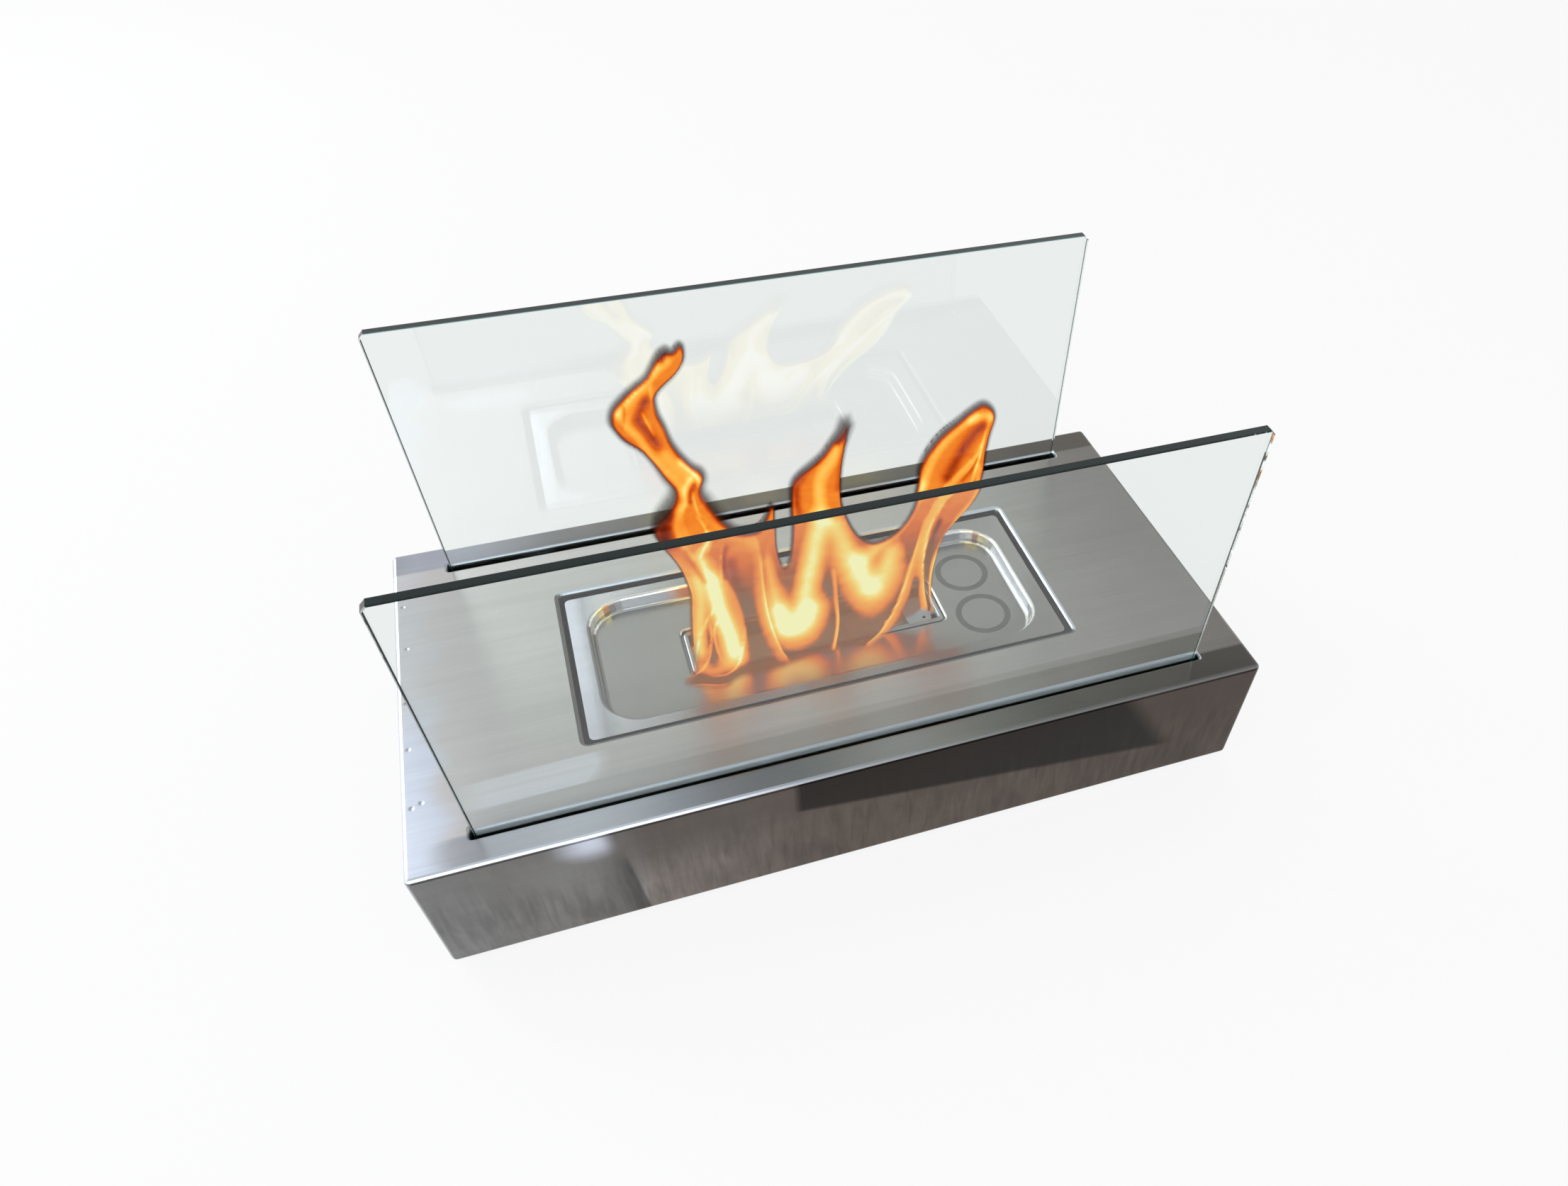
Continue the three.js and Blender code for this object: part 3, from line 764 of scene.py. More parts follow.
def revolve(profile, segments):
    # profile: (radius, height) from the axis round to the axis
    vertices = []
    faces = []
    for radius, height in profile:
        count = 1 if radius == 0 else segments
        for i in range(count):
            angle = 2 * math.pi * i / segments
            vertices.append((radius * math.cos(angle), radius * math.sin(angle), height))
    starts = np.cumsum([0] + [1 if r == 0 else segments for r, _ in profile])
    for ring in range(len(profile) - 1):
        low, high = int(starts[ring]), int(starts[ring + 1])
        for i in range(segments):
            j = (i + 1) % segments
            lower = [low + i, low + j] if profile[ring][0] else [low]
            upper = [high + j, high + i] if profile[ring + 1][0] else [high]
            faces.append(lower + upper)
    return vertices, faces


baseScrew = {
    "headRadius": 3.0 * mm,
    "headHeight": 1.5 * mm,
    "socketRadius": 1.1 * mm,
    "socketDepth": 0.9 * mm,
    "places": [(164, 50), (100, 80), (0, 80), (-100, 80), (-164, 50)],  # in mm, also mirrored in Y
}


def scatterOnPoints(name, points, template, scale, finish):
    # A cloud of points carries one copy of the template each
    mesh = bpy.data.meshes.new(name)
    mesh.from_pydata([tuple(p) for p in points], [], [])
    piece = bpy.data.objects.new(name, mesh)
    scene.collection.objects.link(piece)
    tree = bpy.data.node_groups.new(name + "Layout", "GeometryNodeTree")
    face = tree.interface
    face.new_socket("Geometry", in_out="INPUT", socket_type="NodeSocketGeometry")
    shapeInput = face.new_socket("Shape", in_out="INPUT", socket_type="NodeSocketObject")
    sizeInput = face.new_socket("Size", in_out="INPUT", socket_type="NodeSocketFloat")
    turnInput = face.new_socket("Random Turn", in_out="INPUT", socket_type="NodeSocketFloat")
    face.new_socket("Geometry", in_out="OUTPUT", socket_type="NodeSocketGeometry")
    given = tree.nodes.new("NodeGroupInput").outputs
    made = tree.nodes.new("NodeGroupOutput").inputs
    info = addNode(tree, "GeometryNodeObjectInfo", {"Object": given["Shape"]})
    angle = addNode(tree, "FunctionNodeRandomValue", data_type="FLOAT")
    angle.inputs["Seed"].default_value = 7
    tree.links.new(given["Random Turn"], angle.inputs[3])
    turn = addNode(tree, "ShaderNodeCombineXYZ", {2: angle.outputs[1]})
    copies = addNode(
        tree, "GeometryNodeInstanceOnPoints",
        {
            "Points": given["Geometry"],
            "Instance": info.outputs["Geometry"],
            "Rotation": turn.outputs[0],
            "Scale": given["Size"],
        },
    )
    real = addNode(tree, "GeometryNodeRealizeInstances", {0: copies.outputs[0]})
    painted = addNode(
        tree, "GeometryNodeSetMaterial", {"Geometry": real.outputs[0], "Material": finish}
    )
    tree.links.new(painted.outputs[0], made[0])
    layout = piece.modifiers.new("layout", "NODES")
    layout.node_group = tree
    layout[shapeInput.identifier] = template
    layout[sizeInput.identifier] = scale
    layout[turnInput.identifier] = 2 * math.pi
    graph = bpy.context.evaluated_depsgraph_get()
    result = bpy.data.meshes.new_from_object(piece.evaluated_get(graph))
    piece.modifiers.remove(layout)
    piece.data = result
    result.name = name
    if not result.materials:
        result.materials.append(finish)
    result.shade_smooth()
    return piece


def makeBaseScrews(screw):
    head, height = screw["headRadius"], screw["headHeight"]
    socket, depth = screw["socketRadius"], screw["socketDepth"]
    profile = [(0, 0.02 * mm), (head, 0.02 * mm)]
    for step in range(6):
        angle = math.pi / 2 * step / 5
        radius = head * (0.72 + 0.28 * math.cos(angle))
        profile.append((radius, -height * (0.25 + 0.75 * math.sin(angle))))
    profile += [(socket, -height), (socket, -height + depth), (0, -height + depth)]
    vertices, faces = revolve(profile[::-1], 24)
    template = meshPiece("screwHead", vertices, faces, zincSheet)
    mesh = template.data
    work = bmesh.new()
    work.from_mesh(mesh)
    bmesh.ops.recalc_face_normals(work, faces=work.faces)
    work.to_mesh(mesh)
    work.free()
    points = [(x * mm, side * y * mm, plateBottom) for x, y in screw["places"] for side in (1, -1)]
    screws = scatterOnPoints("base_screws", points, template, 1.0, zincSheet)
    bpy.data.objects.remove(template)
    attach(screws, "housing")


makeBaseScrews(baseScrew)
print("base screws made")


# ---- flame ----

flameShape = {
    # In the flame's own sheet, which leans back from the slot: (x, height above the casing), in mm
    "outline": [
        (-61.8, -11.7), (-59.4, -9.5), (-56.8, -6.4), (-55.4, -1.8), (-55, 4.3), (-54, 10.9),
        (-52.8, 17.4), (-51.7, 23.1), (-51.8, 27.2), (-53.4, 34.8), (-56.2, 40.9), (-59.6, 46.5),
        (-60.3, 50.7), (-57.7, 55), (-53.4, 58.4), (-50.4, 61.2), (-47.9, 64.1), (-51.7, 69.4),
        (-55.1, 75.8), (-58.8, 80.9), (-64, 84.9), (-66.5, 88.4), (-67.7, 91.7), (-66, 95.8),
        (-61.8, 99.4), (-57.2, 102.4), (-51.9, 105.2), (-48.4, 108.9), (-45.8, 111.6),
        (-42.8, 112.9), (-40.5, 111.5), (-37.1, 113.6), (-36.9, 110.4), (-38.6, 107.6),
        (-41.9, 105.1), (-45.6, 103.2), (-48.8, 101.2), (-51, 98.4), (-51.1, 93.5), (-49.6, 88.3),
        (-48.1, 82.4), (-45.2, 76.8), (-41.9, 72.4), (-38.9, 69.9), (-38.7, 67.2), (-40.8, 64.2),
        (-39.5, 60), (-37.5, 55.6), (-34.1, 50.8), (-29.8, 46.6), (-24.9, 45), (-20.4, 44.9),
        (-16.4, 46.5), (-12.2, 51.4), (-12.8, 45.6), (-13.8, 37.2), (-13.1, 30.6), (-11.3, 27.3),
        (-8.5, 30.4), (-6.5, 35.9), (-4.8, 42.7), (-3.6, 51), (-2.2, 57.7), (1.1, 61.3),
        (6.1, 64.5), (11.1, 67.8), (15.5, 71.8), (19.7, 75.1), (23.3, 78.2), (21.7, 73.5),
        (19.4, 67.8), (17.4, 61.3), (16.3, 54.6), (16.3, 47.5), (18.1, 41.5), (21.2, 35.8),
        (26.3, 32), (31.9, 31.7), (38.5, 33.4), (44.6, 36.8), (49.1, 41.8), (51.8, 48.5),
        (53.4, 55.4), (57.6, 61.7), (63.7, 67.7), (70.4, 71.5), (77.1, 74.6), (82.8, 75.8),
        (86.6, 73.1), (87.2, 69.6), (84.4, 64.5), (81.8, 57.8), (80.2, 51), (77.2, 44.2),
        (72.6, 38.4), (66.3, 32.9), (60.9, 27.8), (57.4, 22.4), (54.4, 15.4), (52.2, 8), (51.9, 2),
        (52.6, -3), (50.4, -3.6), (47, -1.5), (42, -3.5), (37, -6), (32, -8.6), (27, -11.2),
        (23, -13.2), (18.3, -15.4), (13.3, -13.1), (8.9, -12.5), (4.4, -13.4), (-1.5, -13.1),
        (-7.6, -13.9), (-13.5, -14.8), (-19.6, -16.3), (-25.5, -17.1), (-31.3, -17.1),
        (-36.9, -16.6), (-41.3, -18), (-44.6, -20.2), (-50.2, -19.6), (-55.3, -17.4),
        (-59.8, -15.2),
    ],
    # Dark fringe outside the outline: its width at the foot and at the top, the heights between
    # which it widens, and wider places (x, height, radius, more)
    "smoke": (1.5, 2.9),
    "smokeClimb": (35, 65),
    "smokeSpots": [(-33, 57, 10, 5.2), (-54, 61, 9, 3.0), (-39, 113, 6, -0.6), (24, 79, 7, 2.4)],
    "highest": 115.8,
    "footY": -9.2,
    "lean": 0.42,
    "thickness": 5.5,
    "roundOver": 9,
    "thinFringe": 0.7,  # share of the fringe that stays a thin skin
    "skin": (0.12, 0.3),  # half its thickness, upright and on the floor
    "grid": 0.95,
    "sway": 1.4,
    # Below this height the sheet lies forward over the tray's floor; above, it rises over so much
    "floorHeight": -7.3,
    "layForward": 0.91,
    "riseOver": 16,
    "footHeight": 8,  # up to here the foot is see-through towards its rim
    "footFade": 4,
    "drape": (0.15, -0.75),  # how far the strokes shift with the swelling of the front skin
    "glowSpread": 1.75,
    "glowHeat": 0.94,
    "baseHeat": (0.36, 0.53),  # near the slot and in the tongues
    # Strokes: width to the left of the curve, width to its right, strength, curve in the sheet
    "glow": [
        (3, 4, 0.62, [
            (-54.2, 0.7), (-52.8, 10.7), (-51, 19.1), (-50.7, 25.6), (-52.9, 33.9), (-56, 40.8),
        ]),
        (3.2, 2.8, 1.12, [
            (-38.1, -2.2), (-38.6, 4.2), (-40, 11.4), (-41, 17), (-41.3, 22.4), (-42.2, 27.9),
        ]),
        (1.7, 1.7, 0.9, [(-42.2, 27.9), (-43.8, 33.4), (-44.7, 38.7), (-41.7, 41.9), (-40, 45.4)]),
        (5.5, 5, 0.8, [
            (-38.6, -4.9), (-38.6, 4.2), (-40, 11.4), (-41.1, 19.7), (-42.2, 27.9), (-43.8, 33.4),
        ]),
        (3, 1.4, 0.58, [
            (-36.6, -7.5), (-33.8, -0.3), (-32.9, 7.1), (-33, 14), (-34.4, 21), (-37.1, 26.2),
        ]),
        (2.4, 2.4, 0.84, [(-52.5, 0.3), (-50.9, 8.2), (-48.5, 16.5), (-47.7, 23.7), (-48, 29)]),
        (4.5, 0.5, 0.6, [
            (-17.2, -10.7), (-19, -4.2), (-20.6, 3.1), (-21.6, 11.6), (-21.6, 19.8), (-21.1, 27.7),
            (-20.5, 35.4), (-20.9, 40.6),
        ]),
        (3.2, 3.2, 0.56, [(-34.1, 38.6), (-27.3, 38.9), (-21.2, 39.1)]),
        (0.9, 3, 0.55, [(-17.2, 10.7), (-17.9, 19), (-18.2, 27.1), (-17.9, 34.9)]),
        (4.2, 4.2, 1.02, [
            (-14.8, 4), (-10.9, 6), (-7, 10), (-4.1, 14.9), (-1.4, 21.1), (1.5, 28.6), (4.4, 35.9),
            (6.7, 42),
        ]),
        (4, 4, 1.06, [(-16.5, 10.6), (-15.2, 5.5), (-11.4, 2.6), (-6.2, 3.6), (-2.7, 7.7)]),
        (5.6, 5.6, 0.72, [(-18.3, 16.4), (-17.7, 7.4), (-12.8, -1.4), (-5.4, -0.1), (0.1, 7.1)]),
        (2.6, 2.6, 0.64, [(-17.3, 12.1), (-17.8, 19), (-18.1, 25.7), (-18.5, 31.1)]),
        (1.3, 0.6, 0.66, [
            (4.1, -12.6), (6.9, -5.6), (8.8, 1.1), (9.2, 8), (9.6, 13.5), (9.9, 20.3),
        ]),
        (4, 4.6, 0.9, [
            (13.3, 39.5), (15.6, 30.6), (18, 21.4), (20.7, 14.7), (23.8, 10.6), (27.8, 13.3),
            (31.4, 18.8), (35.2, 24.9),
        ]),
        (4.2, 4.2, 0.98, [(20.5, 24.3), (23.9, 16.8), (24.8, 12.5)]),
        (6, 6, 0.66, [(14.2, 25.5), (18.1, 11.8), (23.1, 5.2), (29.6, 9.5), (34.9, 16.8)]),
        (0.7, 3.4, 0.7, [
            (19.1, -14), (25.7, -9.3), (31.8, -2.6), (36.4, 4.9), (40.2, 12.6), (44.9, 21.3),
            (49.4, 28.6), (52.5, 34), (57.2, 40), (62.9, 45.6), (69.2, 51), (74.7, 55.2),
        ]),
        (2.8, 0.5, 0.76, [
            (49.4, -2), (48.3, 5.4), (48.6, 12.3), (50.2, 20.3), (52.9, 27.3), (56.6, 33.5),
            (61.6, 39.9), (67.9, 44.7),
        ]),
        (1.7, 0.5, 0.72, [
            (52.3, -4), (51.6, 2.6), (51.9, 8.9), (54.9, 16.7), (60, 23.3), (65.9, 30.3),
            (67.7, 32.9), (72.6, 38), (76.8, 43.9), (79.2, 51.9),
        ]),
        (3, 2.4, 0.84, [
            (23.3, 24.1), (28.1, 27.9), (35.2, 32.6), (42.1, 35.9), (47, 40.5), (52.8, 47.3),
        ]),
        (1.6, 2.4, 0.8, [
            (52.6, 45.4), (56.3, 53.2), (60.6, 60.1), (66.1, 65.4), (72.2, 69.2), (78.9, 71.6),
        ]),
        (2, 2, 0.86, [(76.6, 70.7), (83.1, 70.3), (86, 69.9)]),
        (1.2, 0.9, 0.74, [(73.8, 44.4), (77.8, 52.2), (80.9, 59.4), (83.5, 65.2), (85.7, 69.3)]),
        (0.8, 1.2, 0.66, [(59.6, 42.2), (66, 47.7), (71.5, 51.9), (76.2, 56.3), (79.2, 60.9)]),
        (2.2, 2.6, 0.62, [(-37.8, 111.5), (-40.1, 108.8), (-44.4, 106.4), (-49.1, 104.3)]),
        (1.8, 1.5, 0.86, [
            (-43.2, 108.1), (-47.8, 106.4), (-52.2, 103.6), (-57.2, 100.2), (-61.4, 96.6),
            (-64.8, 93.6),
        ]),
        (2.4, 2.4, 0.66, [(-52.1, 102.1), (-55, 98.7), (-58.3, 95.3), (-61.2, 91.9)]),
        (1.4, 1, 0.74, [
            (-51.2, 100.5), (-51.2, 95.1), (-50, 91.8), (-49.1, 86.7), (-46.2, 80.2), (-43.1, 74),
            (-40.3, 70.3),
        ]),
        (2.2, 1.8, 0.78, [
            (-64.9, 94), (-63.1, 89.4), (-59.1, 84.3), (-56.8, 79.1), (-52.9, 73.2), (-48.5, 67.5),
            (-46.3, 62.9),
        ]),
        (3, 3, 0.76, [(-50, 76.8), (-46.6, 72.1), (-43, 68.2)]),
        (1.4, 1.3, 0.96, [(-44.9, 73.9), (-41.7, 70.1), (-39.5, 66.8)]),
        (1.3, 1.3, 0.92, [(-42.8, 67), (-45.6, 63.2), (-46.2, 59.1), (-48.4, 56.1)]),
        (1.6, 1, 0.72, [(-40.1, 64.8), (-39, 59.1), (-35.6, 53.4), (-32.7, 49.6)]),
        (2.6, 2.2, 0.66, [
            (-48.8, 61.7), (-50.2, 57.3), (-49.5, 52.4), (-49.5, 50.3), (-48.2, 43.8),
        ]),
        (1.4, 1.4, 0.8, [(-49.8, 54.6), (-51.9, 49.5), (-50.9, 43.6), (-47.6, 37.3)]),
        (2.6, 2.6, 0.62, [(-41.1, 53.1), (-36.2, 47.9), (-31.6, 44.5), (-25.3, 42.7)]),
        (2.4, 2.6, 0.74, [
            (17.4, 68.5), (15, 65.1), (11.2, 61.8), (8.7, 57.9), (7.6, 52.4), (8.3, 45.7),
            (10.6, 41.6),
        ]),
        (3.4, 3.6, 0.64, [(17.4, 68.5), (13.2, 62.4), (9.9, 56.4), (8.9, 49.6), (7, 43.6)]),
        (1, 1, 0.56, [(20.9, 73.1), (19.5, 69.5)]),
        (0.8, 0.8, 0.34, [(-10.9, 53.9), (-14.1, 49.2), (-16, 46.3)]),
        (3.4, 3.4, 0.6, [(-53.2, -6.5), (-48.3, -9.8), (-42.3, -7.6), (-38.6, -2.7)]),
    ],
    "shade": [
        (2, 2, 0.46, [
            (-53.7, 97), (-56.1, 93.8), (-57.7, 90.6), (-56.8, 88.9), (-55.2, 86.1), (-52.5, 81.2),
        ]),
        (0.6, 0.6, 0.3, [(-62, 95.9), (-62.5, 92.1), (-64.2, 88.4)]),
        (1.4, 1.4, 0.55, [(-68.6, 91), (-67.7, 87.8), (-66.2, 85.2), (-59.1, 78.7)]),
        (1.6, 1.6, 0.6, [(-41.4, 112.7), (-43, 111), (-44.7, 109)]),
        (1.2, 1.2, 0.4, [(-41.9, 64.7), (-44.1, 61.7), (-44.5, 58.8)]),
        (4.5, 4.5, 0.7, [(-53.7, 61.7), (-55, 57.7), (-55.1, 53.4), (-56.3, 51.5), (-57, 45.4)]),
        (1.6, 1.4, 0.42, [(7.5, 65.5), (2.4, 60.3), (-0.6, 56), (-1.5, 50.5), (-1.3, 46)]),
        (1.4, 1.4, 0.55, [(23.2, 76.1), (21.3, 72.6), (18.7, 70.9)]),
        (0.9, 0.9, 0.22, [(20.2, 69.4), (17.6, 61.6), (15.6, 53.3)]),
        (2.6, 2.6, 0.46, [(63.9, 48.7), (68.1, 55), (72.6, 60.7), (77.3, 65), (81.5, 67.4)]),
        (1, 1, 0.3, [(67.2, 44.9), (73.6, 50.3), (77.6, 54.8)]),
        (0.9, 0.9, 0.5, [
            (50.3, -1.5), (49.9, 5.8), (50.4, 12), (51.9, 18.6), (55.2, 26.2), (59, 32.8),
        ]),
        (2.2, 2.2, 0.3, [(-32.8, 34.5), (-32.7, 28), (-31.6, 23.1), (-29.3, 13.2), (-29.2, 2.2)]),
        (1, 1, 0.35, [(-34, 40.5), (-35.8, 35.1), (-36, 28.6)]),
        (1.6, 1.6, 0.34, [(44.4, -5.3), (42.9, 2.9), (45.3, 10.9)]),
        (1, 1, 0.3, [(-50.2, 40.4), (-47.2, 32.7), (-44.9, 27.7)]),
    ],
    "filaments": [
        (0.5, 0.5, [
            (-56, -3.1), (-52.8, 3.8), (-49, 9.2), (-45.9, 12.6), (-43.8, 14.9), (-41.7, 18.5),
            (-40.4, 23.5),
        ]),
        (0.5, 0.5, [(-51.4, -4.2), (-48, 0.7), (-46, 5.8), (-46.2, 11.3)]),
        (0.5, 0.5, [(-44.4, -5.7), (-45.3, 0.1), (-45.1, 5.6), (-43.5, 9.4), (-41.1, 10.9)]),
        (0.5, 0.6, [(-61.2, -11.6), (-56.7, -6.4), (-54.3, 0), (-51.3, 6.3), (-47, 10.8)]),
        (0.5, 0.6, [(-60.4, -11.3), (-53.4, -7.2), (-49, -2.5), (-46.6, 3.9), (-46.6, 9.4)]),
        (0.6, 0.5, [(-51.1, -13.1), (-43.4, -13.4), (-37.9, -8.6), (-34.2, -1.6), (-31.9, 6.3)]),
        (0.5, 0.5, [(-59.9, -15.1), (-54.6, -16.6), (-48.7, -19), (-43.9, -19.4)]),
        (0.5, 0.5, [(-62.4, -5.7), (-59.3, -5.8), (-56.7, -5)]),
        (0.7, 0.4, [
            (-17.2, -10.7), (-19, -4.2), (-20.6, 3.1), (-21.6, 11.6), (-21.6, 19.8), (-21.1, 27.7),
            (-20.6, 34.8),
        ]),
        (0.5, 0.4, [(-38.1, 26.4), (-37.5, 32.1), (-36.5, 37.1), (-35, 41.3)]),
        (0.5, 0.5, [(-55.6, -3.2), (-53.9, 10.2), (-52, 19.3), (-51.3, 25.7), (-52.2, 31.1)]),
        (0.5, 0.5, [
            (-43.3, 53.5), (-41.6, 50.7), (-40.2, 46.1), (-40.3, 44.2), (-42.8, 40.9),
            (-45.1, 36.8),
        ]),
        (0.5, 0.5, [(-42.8, 62.8), (-42.8, 58.1), (-41.9, 51.9)]),
        (0.5, 0.5, [(-44.5, 73.9), (-41.3, 69.8), (-38.9, 67.6)]),
        (0.5, 0.5, [(-55.8, 93.4), (-54.6, 89.3), (-52.9, 84.3)]),
        (0.5, 0.5, [(-45.8, 107.7), (-52.2, 103.6), (-57.8, 99.5), (-62.4, 95.9)]),
        (0.4, 0.6, [
            (19.1, -14), (25.7, -9.3), (31.8, -2.6), (36.4, 4.9), (40.2, 12.6), (44.9, 21.3),
            (49.4, 28.6),
        ]),
        (0.6, 0.4, [
            (49.4, -2), (48.3, 5.4), (48.6, 12.3), (50.2, 20.3), (52.9, 27.3), (56.6, 33.5),
            (61.6, 39.9),
        ]),
        (0.6, 0.4, [(52.3, -4), (51.6, 2.6), (51.9, 8.9), (54.9, 16.7), (60, 23.3), (65.9, 30.3)]),
        (0.5, 0.5, [(68.9, 47.2), (75.3, 53.2), (80.2, 60.1), (83.5, 65.9)]),
        (0.5, 0.5, [(74.9, 48.1), (78.7, 55.2), (82.7, 64.1)]),
        (0.6, 0.4, [(3.7, -12.5), (6.8, -5.6), (8.6, 1.2), (9.2, 8.1)]),
    ],
}


def smoothCurve(points, steps, closed=True):
    # Catmull-Rom curve through the points
    p = np.array(points, float)
    if closed:
        before, after, beyond = np.roll(p, 1, 0), np.roll(p, -1, 0), np.roll(p, -2, 0)
    else:
        ends = np.vstack([2 * p[0] - p[1], p, 2 * p[-1] - p[-2]])
        before, after, beyond, p = ends[:-3], ends[2:-1], ends[3:], p[:-1]
    out = []
    for t in np.arange(steps) / steps:
        out.append(
            0.5 * (2 * p + (after - before) * t + (2 * before - 5 * p + 4 * after - beyond) * t**2
                   + (3 * p - before - 3 * after + beyond) * t**3)
        )
    return np.stack(out, 1).reshape(-1, 2)


def distanceToLoop(points, loop):
    best = np.full(len(points), 1e9)
    for start, end in zip(loop, np.roll(loop, -1, 0)):
        step = end - start
        t = np.clip(((points - start) @ step) / max(step @ step, 1e-9), 0, 1)
        best = np.minimum(best, np.linalg.norm(points - start - t[:, None] * step, axis=1))
    return best


def grownLoop(loop, distance):
    # Outline moved outwards, without the points that would cross in narrow gaps
    run = np.roll(loop, -1, 0) - np.roll(loop, 1, 0)
    length = np.maximum(np.linalg.norm(run, axis=1), 1e-9)
    normal = np.stack([run[:, 1], -run[:, 0]], 1) / length[:, None]
    turn = (loop[:, 0] * np.roll(loop[:, 1], -1) - np.roll(loop[:, 0], -1) * loop[:, 1]).sum()
    moved = loop + normal * distance[:, None] * np.sign(turn)
    keep = (distanceToLoop(moved, loop) > distance * 0.95) & ~insideLoop(moved, loop)
    moved = moved[keep]
    apart = np.linalg.norm(moved - np.roll(moved, 1, 0), axis=1) > 0.15
    return moved[apart]


def smokeWidth(points, shape):
    low, high = shape["smoke"]
    start, end = shape["smokeClimb"]
    width = low + (high - low) * np.clip((points[:, 1] - start) / (end - start), 0, 1)
    for x, z, radius, more in shape["smokeSpots"]:
        off = np.linalg.norm(points - (x, z), axis=1) / radius
        width += more * np.exp(-(off**2))
    return width


def strokeAt(points, left, right, curve):
    # 1 on the curve, falling off to either side; 0 to 1 along the curve
    line = np.vstack([smoothCurve(curve, 5, closed=False), curve[-1]])
    starts, ends = line[:-1], line[1:]
    best = np.full(len(points), 1e9)
    side = np.zeros(len(points))
    where = np.zeros(len(points))
    for i, (start, end) in enumerate(zip(starts, ends)):
        step = end - start
        rel = points - start
        t = np.clip(rel @ step / max(step @ step, 1e-9), 0, 1)
        off = np.linalg.norm(rel - t[:, None] * step, axis=1)
        closer = off < best
        best[closer] = off[closer]
        side[closer] = (step[0] * rel[:, 1] - step[1] * rel[:, 0])[closer]
        where[closer] = (i + t[closer]) / len(starts)
    width = np.where(side > 0, left, right)
    return np.exp(-((best / width) ** 2)), where


crispWidth = 1.1  # a stroke narrower than this to one side has a crisp edge there
strokeBlend = 3.5


def strokeField(points, strokes, wider=1.0):
    # Soft strokes laid over each other, the strongest winning
    total = np.zeros(len(points))
    for left, right, value, curve in strokes:
        left, right = (width * (wider if width > crispWidth else 1.2) for width in (left, right))
        near, _ = strokeAt(points, left, right, curve)
        total += (value * near) ** strokeBlend
    return total ** (1 / strokeBlend)


def filamentField(points, filaments):
    total = np.zeros(len(points))
    for left, right, curve in filaments:
        near, where = strokeAt(points, left, right, curve)
        total = np.maximum(total, near * np.sin(math.pi * np.clip(where, 0.02, 0.98)) ** 0.5)
    return total


def crispLines(shape):
    # Points in close rows along every crisp edge
    rows = []
    curves = list(shape["filaments"])
    for left, right, _, curve in shape["glow"] + shape["shade"]:
        if min(left, right) < crispWidth:
            curves.append((left, right, curve))
    for left, right, curve in curves:
        line = smoothCurve(curve, 16, closed=False)
        run = np.gradient(line, axis=0)
        normal = np.stack([-run[:, 1], run[:, 0]], 1) / np.linalg.norm(run, axis=1)[:, None]
        rows.append(line)
        for share in (0.7, 1.5):
            if left < crispWidth:
                rows.append(line + normal * left * share)
            if right < crispWidth:
                rows.append(line - normal * right * share)
    points = np.vstack(rows)
    _, kept = np.unique(np.round(points / 0.4), axis=0, return_index=True)
    return points[np.sort(kept)]


def insideLoop(points, loop):
    inside = np.zeros(len(points), bool)
    ends = np.roll(loop, -1, 0)
    for (x1, y1), (x2, y2) in zip(loop, ends):
        if y1 == y2:
            continue
        crosses = (y1 > points[:, 1]) != (y2 > points[:, 1])
        at = (x2 - x1) * (points[:, 1] - y1) / (y2 - y1) + x1
        inside ^= crosses & (points[:, 0] < at)
    return inside


flameLook = {
    "colours": [
        (0.0, (0.010, 0.007, 0.006)),
        (0.12, (0.055, 0.011, 0.004)),
        (0.25, (0.30, 0.024, 0.003)),
        (0.37, (0.62, 0.09, 0.005)),
        (0.48, (0.82, 0.18, 0.018)),
        (0.6, (0.95, 0.31, 0.034)),
        (0.72, (1.0, 0.45, 0.065)),
        (0.84, (1.0, 0.62, 0.13)),
        (0.93, (1.0, 0.80, 0.25)),
        (1.0, (1.0, 0.95, 0.50)),
    ],
    "strength": 1.03,
    "haze": (0.25, 0.088, 0.02, 1),
    "hazeShare": 0.76,
    "mirrored": (2.2, 1.32, 0.66, 1),  # extra glow that the steel in front reflects
    "mirroredFar": (0.7, 0.5, 0.4, 1),
    # Glow of the back that the rear pane reflects, by heat
    "ghost": [
        (0.15, (0.8, 0.7, 0.3)), (0.4, (2.1, 1.75, 0.0)),
        (0.6, (2.4, 2.1, 0.5)), (0.8, (3.0, 2.7, 2.0)),
    ],
    "ghostReach": (74 * mm, 84 * mm),
}


